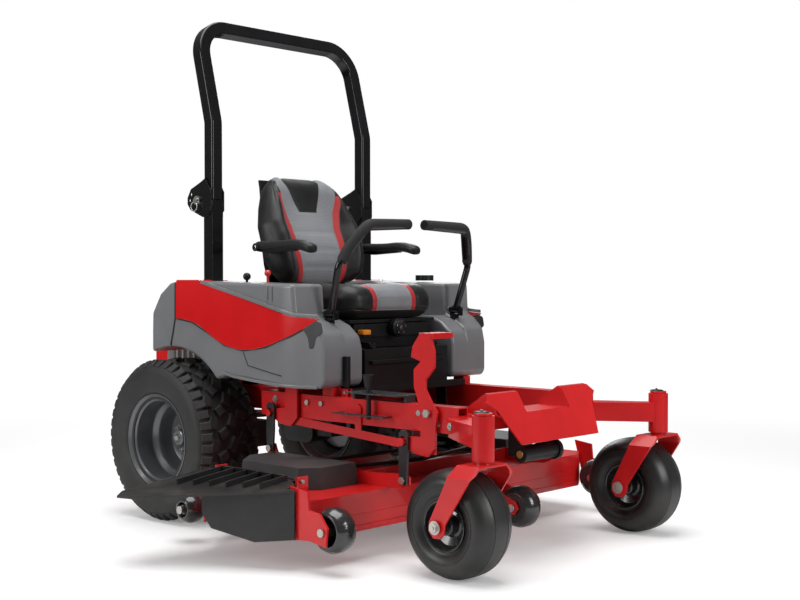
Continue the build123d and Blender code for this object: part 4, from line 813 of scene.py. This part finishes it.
def seat_backrest():
    height = (back_high.z - back_low.z)
    half = (SEAT_HALF, height / 2, 0.050)

    def panel(b):
        return through(b, (-1.0, 0.44), (0.0, 0.46), (0.30, 0.56), (0.80, 0.86), (1.0, 0.90))

    def head(b):
        return through(b, (-1.0, 0.25), (0.30, 0.20), (0.36, 0.22), (1.0, 0.60))

    def columns(a, b):
        size = abs(a)
        edge = panel(b)
        s = through(size, (0.0, 0.0), (0.3, head(b)), (0.5, edge), (0.6, min(0.97, edge + 0.11)), (1.0, 1.0))
        return s if a > 0 else -s

    bm, places = padded_block(half, (0.062, 0.080, 0.046), 39, columns)
    for vert in bm.verts:
        a, b, c = places[vert]
        t = vert.co.y / half[1]
        width = through(t, (-1.0, 0.90), (-0.55, 1.00), (0.05, 1.00), (0.40, 0.90), (0.78, 0.74), (1.0, 0.60))
        across = vert.co.x / half[0]
        vert.co.x *= width
        front = ease(c, -0.6, 1.0)
        wrap_depth = through(t, (-1, 0.034), (-0.2, 0.052), (0.5, 0.030), (1, 0.006))
        wrap = wrap_depth * exp(-((abs(across) - 0.82) / 0.19) ** 2)
        hollow = -0.010 * (1 - across ** 2) * ease(t, -0.4, 0.5)
        lumbar = 0.012 * exp(-((t + 0.45) / 0.35) ** 2) * (1 - across ** 2)
        head_roll = 0.010 * exp(-((t - 0.80) / 0.22) ** 2) * (1 - abs(across))
        vert.co.z += front * (wrap + hollow + lumbar + head_roll - 0.012)
        back = ease(-c, 0.2, 1.0)
        vert.co.z += back * 0.012 * across ** 2

    def dents(a, b, c):
        if c < -0.2:
            return 0.0
        inside = abs(a) < 0.5
        seams = line_dent(abs(a) - 0.5, 0.022, 0.0040) + line_dent(abs(a) - 0.6, 0.022, 0.0045)
        lines = sum(line_dent(b - place, 0.035, 0.0032) for place in (-0.78, -0.44, -0.10)) * inside
        crown = (line_dent(abs(a) - 0.3, 0.02, 0.0035) * (b > 0.30)
                 + line_dent(b - 0.31, 0.025, 0.0035) * (abs(a) < 0.3))
        bolster = line_dent(abs(a) - 0.86, 0.03, 0.0030)
        return seams + lines + crown + bolster

    press(bm, places, dents)

    def choose(a, b, c):
        if c < 0.0 or abs(a) > 0.6:
            return 0
        if abs(a) > 0.5:
            return 2 if b < 0.62 else 0
        return 0 if b > 0.31 and abs(a) < 0.3 else 1

    paint_columns(bm, places, choose)
    foot_x, top_x = 0.286, 0.146
    lean = atan2(foot_x - top_x, height)
    stand = Matrix(((0, 0, 1, 0), (1, 0, 0, 0), (0, 1, 0, 0), (0, 0, 0, 1)))
    tilt = Matrix.Rotation(-lean, 4, "Y")
    centre = Vector(((foot_x + top_x) / 2 + 0.006, 0, (back_low.z + back_high.z) / 2))
    return moved(bm, Matrix.Translation(centre) @ tilt @ stand)


COVERS = [vinyl, grey_cover, red_cover]
for name, shape, node in (("cushion_seat", seat_cushion, "seat_cushion"),
                          ("cushion_back", seat_backrest, "seat_backrest")):
    pad = as_piece(name, shape(), "seat", COVERS, sharp=180, replaces=node, weighted=False)
    smooth = pad.modifiers.new("smooth", "SUBSURF")
    smooth.levels = smooth.render_levels = 1


def armrest(side):
    low, high = span("armrest_" + side)
    half = ((high.y - low.y) / 2, (high.x - low.x) / 2, (high.z - low.z) / 2)
    bm, places = padded_block(half, (0.019, 0.026, 0.016), 19, lambda a, b: a)
    for vert in bm.verts:
        along = vert.co.y / half[1]
        vert.co.z -= 0.012 * ease(along, 0.45, 1.0) ** 2 - 0.004 * exp(-((along - 0.35) / 0.3) ** 2)
        if vert.co.z < 0:
            vert.co.z *= 1 - 0.35 * ease(-along, -0.6, 0.6)
        vert.co.x *= 0.90 + 0.10 * ease(along, -0.8, 0.3)
    press(bm, places, lambda a, b, c: line_dent(c + 0.35, 0.10, 0.0016))
    turn = Matrix.Rotation(-pi / 2, 4, "Z")
    pad = as_piece("pad_armrest_" + side, moved(bm, Matrix.Translation((low + high) / 2) @ turn),
                   "armrest_" + side, [vinyl], sharp=180, replaces="armrest_" + side,
                   weighted=False)
    y = (low.y + high.y) / 2
    inner = low.y if y > 0 else high.y
    pivot_x, z = low.x + 0.022, (low.z + high.z) / 2 - 0.004
    strap = plate([(pivot_x - 0.012, z - 0.014), (pivot_x + 0.05, z - 0.022), (pivot_x + 0.19, z - 0.014),
                   (pivot_x + 0.19, z - 0.006), (pivot_x - 0.012, z + 0.012)], "y",
                  y - 0.013, y + 0.013, 0.002, 0.004)
    as_piece("strap_armrest_" + side, strap, "armrest_" + side, black_plastic)
    outer = high.y if y > 0 else low.y
    sign = 1 if y > 0 else -1
    bolt = join((rod((pivot_x, outer + sign * 0.0005, z), (pivot_x, outer + sign * 0.004, z), 0.015), 0),
                (rod((pivot_x, outer + sign * 0.004, z), (pivot_x, outer + sign * 0.008, z), 0.009), 1))
    as_piece("pivot_cap_" + side, bolt, "seat", [black_plastic, chrome])
    arm = rod((pivot_x, inner - sign * 0.05, z), (pivot_x, inner - sign * 0.0006, z), 0.011)
    as_piece("pivot_arm_" + side, arm, "seat", black_plastic)


armrest("left")
armrest("right")

knob_low, knob_high = span("seat_knob")
knob_middle = (knob_low + knob_high) / 2
dial = ring_of([(0.0001, 0.004), (0.016, 0.004), (0.018, 0.002), (0.024, 0.002), (0.027, -0.002),
                (0.034, -0.006), (0.034, -0.026), (0.031, -0.029), (0.0001, -0.029)], 48)
ribs = copies_round(slab((-0.002, 0.002), (-0.024, -0.006), (0.0325, 0.0348), 0.0005), 24)
cap = ring_of([(0.0001, 0.0055), (0.006, 0.0055), (0.008, 0.0040), (0.0001, 0.0040)], 32)
glint = copies_round(slab((-0.003, 0.003), (0.0015, 0.0032), (0.019, 0.025), 0.0005), 5)
knob = join((dial, 0), (ribs, 0), (cap, 1), (glint, 1))
knob = moved(knob, Matrix.Translation((knob_high.x - 0.006, knob_middle.y, knob_middle.z))
             @ Matrix.Rotation(-pi / 2, 4, "Z"))
as_piece("dial_seat", knob, "seat_knob", [black_plastic, chrome], replaces="seat_knob")

# ------------------------------------------------------------------ fender pods
def arch_line(radius, first, last, steps):
    """Points along the wheel arch, as x and z."""
    lines = []
    for index in range(steps + 1):
        angle = radians(first + (last - first) * index / steps)
        lines.append((radius * sin(angle), TYRE_MIDDLE.z + radius * cos(angle)))
    return lines


TAPER_START, TAPER_END = 0.58, 0.782
TAPER_FROM_Y, POD_OUTSIDE = 0.40, 0.48
TAPER_DEPTH = 0.048


def taper_front(bm):
    """Draws the outer front corner in towards the centreline."""
    for cut in (0.585, 0.62, 0.655, 0.69, 0.725):
        bmesh.ops.bisect_plane(bm, geom=bm.verts[:] + bm.edges[:] + bm.faces[:], plane_co=(cut, 0, 0),
                               plane_no=(1, 0, 0))
    for vert in bm.verts:
        share = ease(vert.co.x, TAPER_START, TAPER_END)
        if vert.co.y > TAPER_FROM_Y:
            vert.co.y -= share * TAPER_DEPTH * (vert.co.y - TAPER_FROM_Y) / (POD_OUTSIDE - TAPER_FROM_Y)
    return bm


def pod():
    """Moulded pod over the left drive wheel, drawn as its outer shell and its inner step."""
    arch = arch_line(0.343, -22, 47, 16)
    outline = arch + [(0.311, 0.552), (0.430, 0.546), (0.664, 0.526), (0.745, 0.527), (0.762, 0.545),
                      (0.762, 0.655), (0.748, 0.712), (0.700, 0.748), (0.655, 0.767), (0.646, 0.880),
                      (0.300, 0.888), (0.040, 0.893), (-0.020, 0.882), (-0.078, 0.842), (-0.126, 0.770),
                      (-0.128, 0.700)]
    outer = taper_front(plate(outline, "y", 0.322, 0.480, 0.016, 0.0, segments=4))
    inner_outline = [(0.250, 0.560), (0.311, 0.552), (0.664, 0.527), (0.745, 0.528), (0.7615, 0.545),
                     (0.7615, 0.655), (0.748, 0.700), (0.700, 0.738), (0.650, 0.757), (0.250, 0.757)]
    inner = plate(inner_outline, "y", 0.242, 0.360, 0.012, 0.0, segments=3)
    rear = slab((-0.120, 0.300), (0.242, 0.330), (0.700, 0.762), 0.008)
    return join(outer, inner, rear)


RED_OUTLINE = [
    (0.024, 0.885), (0.024, 0.752), (0.070, 0.749), (0.115, 0.742), (0.160, 0.728), (0.205, 0.706),
    (0.250, 0.682), (0.300, 0.663), (0.350, 0.652), (0.400, 0.648), (0.460, 0.652), (0.520, 0.664),
    (0.580, 0.682), (0.640, 0.706), (0.700, 0.738), (0.742, 0.764), (0.655, 0.769), (0.163, 0.885),
]


def band(points, width):
    """Outline of a strip that follows a line of (x, z) points."""
    left, right = [], []
    for index, point in enumerate(points):
        before = Vector(points[max(0, index - 1)])
        after = Vector(points[min(len(points) - 1, index + 1)])
        along = (after - before).normalized()
        across = Vector((-along.y, along.x)) * width / 2
        left.append(tuple(Vector(point) + across))
        right.append(tuple(Vector(point) - across))
    return left + right[::-1]


def strip(points, width, low, high, edge=0.001):
    return taper_front(plate(band(points, width), "y", low, high, edge, 0.0))


def pod_trim():
    """Seams, ridges, lower lip and pressed recess of the left pod; the seams and the recess outline are
    near-black strips of painted shade.
    """
    # near-black strips of painted shade along the seams and round the pressed recess
    dark = [
        strip([(0.018, 0.886), (0.017, 0.752), (0.006, 0.705), (-0.010, 0.650)], 0.007, 0.479, 0.4825),
        strip([(0.024, 0.750), (0.115, 0.739), (0.205, 0.703), (0.300, 0.660), (0.400, 0.645), (0.520, 0.661),
               (0.640, 0.703), (0.700, 0.735)], 0.005, 0.479, 0.4822),
        strip([(0.402, 0.640), (0.428, 0.594), (0.560, 0.572), (0.600, 0.566)], 0.0035, 0.479, 0.4812, 0.0004),
    ]
    grey = [
        strip([(0.170, 0.888), (0.420, 0.832), (0.600, 0.790), (0.655, 0.776), (0.735, 0.772)], 0.013,
              0.478, 0.4860, 0.0028),
        strip([(0.300, 0.562), (0.350, 0.552), (0.430, 0.545), (0.560, 0.536), (0.664, 0.531), (0.735, 0.531)],
              0.011, 0.474, 0.4855, 0.0030),
        strip([(0.528, 0.826), (0.528, 0.876)], 0.012, 0.478, 0.4845, 0.0028),
        strip([(0.552, 0.820), (0.552, 0.876)], 0.008, 0.478, 0.4840, 0.0024),
    ]
    boot = taper_front(plate(
        [(0.672, 0.744), (0.716, 0.762), (0.750, 0.750), (0.757, 0.716), (0.730, 0.700), (0.722, 0.664),
         (0.706, 0.660), (0.700, 0.700)], "y", 0.474, 0.4835, 0.003, 0.006))
    return join(*[(part, 0) for part in dark], *[(part, 1) for part in grey], (boot, 2))


for side, sign in (("left", 1), ("right", -1)):
    insert = taper_front(plate(RED_OUTLINE, "y", 0.476, 0.4840, 0.0016, 0.0))
    wrap = slab((0.024, 0.160), (0.345, 0.483), (0.880, 0.8945), 0.004)
    pieces = [("pod_", pod(), pod_plastic, None, "fenders_and_tank"),
              ("pod_trim_", pod_trim(), [gap_shade_and_stem_black, pod_plastic, charcoal], None, None),
              ("pod_insert_", join(insert, wrap), pod_red, "red_plastic", "fender_panels")]
    for name, shape, material, slot, node in pieces:
        if sign < 0:
            shape = other_side(shape)
        made = as_piece(name + side, shape, "chassis", material)
        if node and sign > 0:
            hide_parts(node)

# ------------------------------------------------------------------ levers
GRIP_LINE = [(0.752, 0.336, 0.962), (0.757, 0.330, 0.985), (0.776, 0.305, 1.030), (0.797, 0.272, 1.074),
             (0.801, 0.250, 1.088), (0.799, 0.210, 1.0895), (0.795, 0.120, 1.0915), (0.792, 0.043, 1.0930)]
for side, sign in (("left", 1), ("right", -1)):
    lever = cad_shape("control_lever_" + side, merge_flats=False)
    as_piece("tube_lever_" + side, lever, "control_lever_" + side, black_paint, sharp=50,
             replaces="control_lever_" + side, flip_check=False)
    grip = tube_along([(x, sign * y, z) for x, y, z in GRIP_LINE], 0.0188)
    as_piece("grip_lever_" + side, grip, "control_lever_" + side, foam, sharp=60)
    collar = rod((0.7505, sign * 0.3385, 0.955), (0.7525, sign * 0.3350, 0.964), 0.0165)
    as_piece("collar_lever_" + side, collar, "control_lever_" + side, black_plastic)
    bolt = hex_bolt((0.668, sign * 0.335, 0.781), (-1, 0, 0), 0.015, 0.006)
    as_piece("bolt_lever_" + side, bolt, "lever_base_" + side, zinc)

# ------------------------------------------------------------------ camera, light and floor
def look(thing, place, direction):
    thing.location = place
    thing.rotation_euler = Vector(direction).to_track_quat("-Z", "Y").to_euler()


camera_data = bpy.data.cameras.new("camera")
camera_data.lens = 58.2
camera_data.sensor_width = 36.0
camera = in_scene("camera", camera_data)
CAMERA_PLACE = Vector((3.8855, -3.4745, 0.9119))
CAMERA_TURN, CAMERA_DIP = radians(47.6), radians(1.1)
aim = (-cos(CAMERA_TURN) * cos(CAMERA_DIP), sin(CAMERA_TURN) * cos(CAMERA_DIP), -sin(CAMERA_DIP))
look(camera, HOME + CAMERA_PLACE, aim)
bpy.context.scene.camera = camera


def area_light(name, place, target, size, power):
    data = bpy.data.lights.new(name, "AREA")
    data.shape = "RECTANGLE"
    data.size, data.size_y = size
    data.energy = power
    look(in_scene(name, data), HOME + Vector(place), Vector(target) - Vector(place))


area_light("top_softbox", (0.6, -0.4, 4.4), (0.5, 0, 0.4), (3.6, 3.6), 185)
area_light("left_softbox", (-0.8, -4.6, 2.2), (0.4, 0, 0.7), (1.4, 2.4), 90)
area_light("front_softbox", (5.4, 0.6, 2.4), (0.6, 0, 0.6), (1.4, 2.4), 95)
area_light("rim_softbox", (-3.0, 3.6, 3.0), (0.2, 0, 0.9), (2.2, 2.2), 70)

FILL_STRENGTH = 0.17
FLOOR_RADIUS = 60.0
GLOW_NEAR, GLOW_FAR = 1.5, 5.0

world = bpy.data.worlds.new("studio")
world.use_nodes = True
sky = world.node_tree.nodes["Background"]
sky.inputs["Color"].default_value = (1.0, 1.0, 1.0, 1.0)
seen = world.node_tree.nodes.new("ShaderNodeLightPath").outputs["Is Camera Ray"]
strength = map_range(world.node_tree, seen, 0.0, 1.0, FILL_STRENGTH, 1.0)
world.node_tree.links.new(strength, sky.inputs["Strength"])
bpy.context.scene.world = world

floor_mesh = bmesh.new()
bmesh.ops.create_circle(floor_mesh, cap_ends=True, segments=96, radius=FLOOR_RADIUS)
floor_data = bpy.data.meshes.new("floor")
floor_mesh.to_mesh(floor_data)
floor_mesh.free()
floor = in_scene("floor", floor_data)
floor_material = surface("floor_paper", (0.86, 0.86, 0.86), 0.75, vary=0.01, fine=30, broad=0.6, bump=0.0)
paper = floor_material.node_tree
reach = paper.nodes.new("ShaderNodeVectorMath")
reach.operation = "LENGTH"
paper.links.new(paper.nodes.new("ShaderNodeTexCoord").outputs["Object"], reach.inputs[0])
far = map_range(paper, reach.outputs["Value"], GLOW_NEAR, GLOW_FAR)
glow = colour_mix(paper, far, (0.20, 0.20, 0.20), (1.0, 1.0, 1.0))
looked_at = paper.nodes.new("ShaderNodeLightPath").outputs["Is Camera Ray"]
shader_inputs = paper.nodes["Principled BSDF"].inputs
paper.links.new(colour_mix(paper, looked_at, (0.0, 0.0, 0.0), glow), shader_inputs["Emission Color"])
shader_inputs["Emission Strength"].default_value = 1.0
base = shader_inputs["Base Color"]
near_tint = base.links[0].from_socket
paper.links.new(colour_mix(paper, far, near_tint, (0.0, 0.0, 0.0)), base)
floor_data.materials.append(floor_material)

bpy.context.scene.view_settings.view_transform = "Standard"
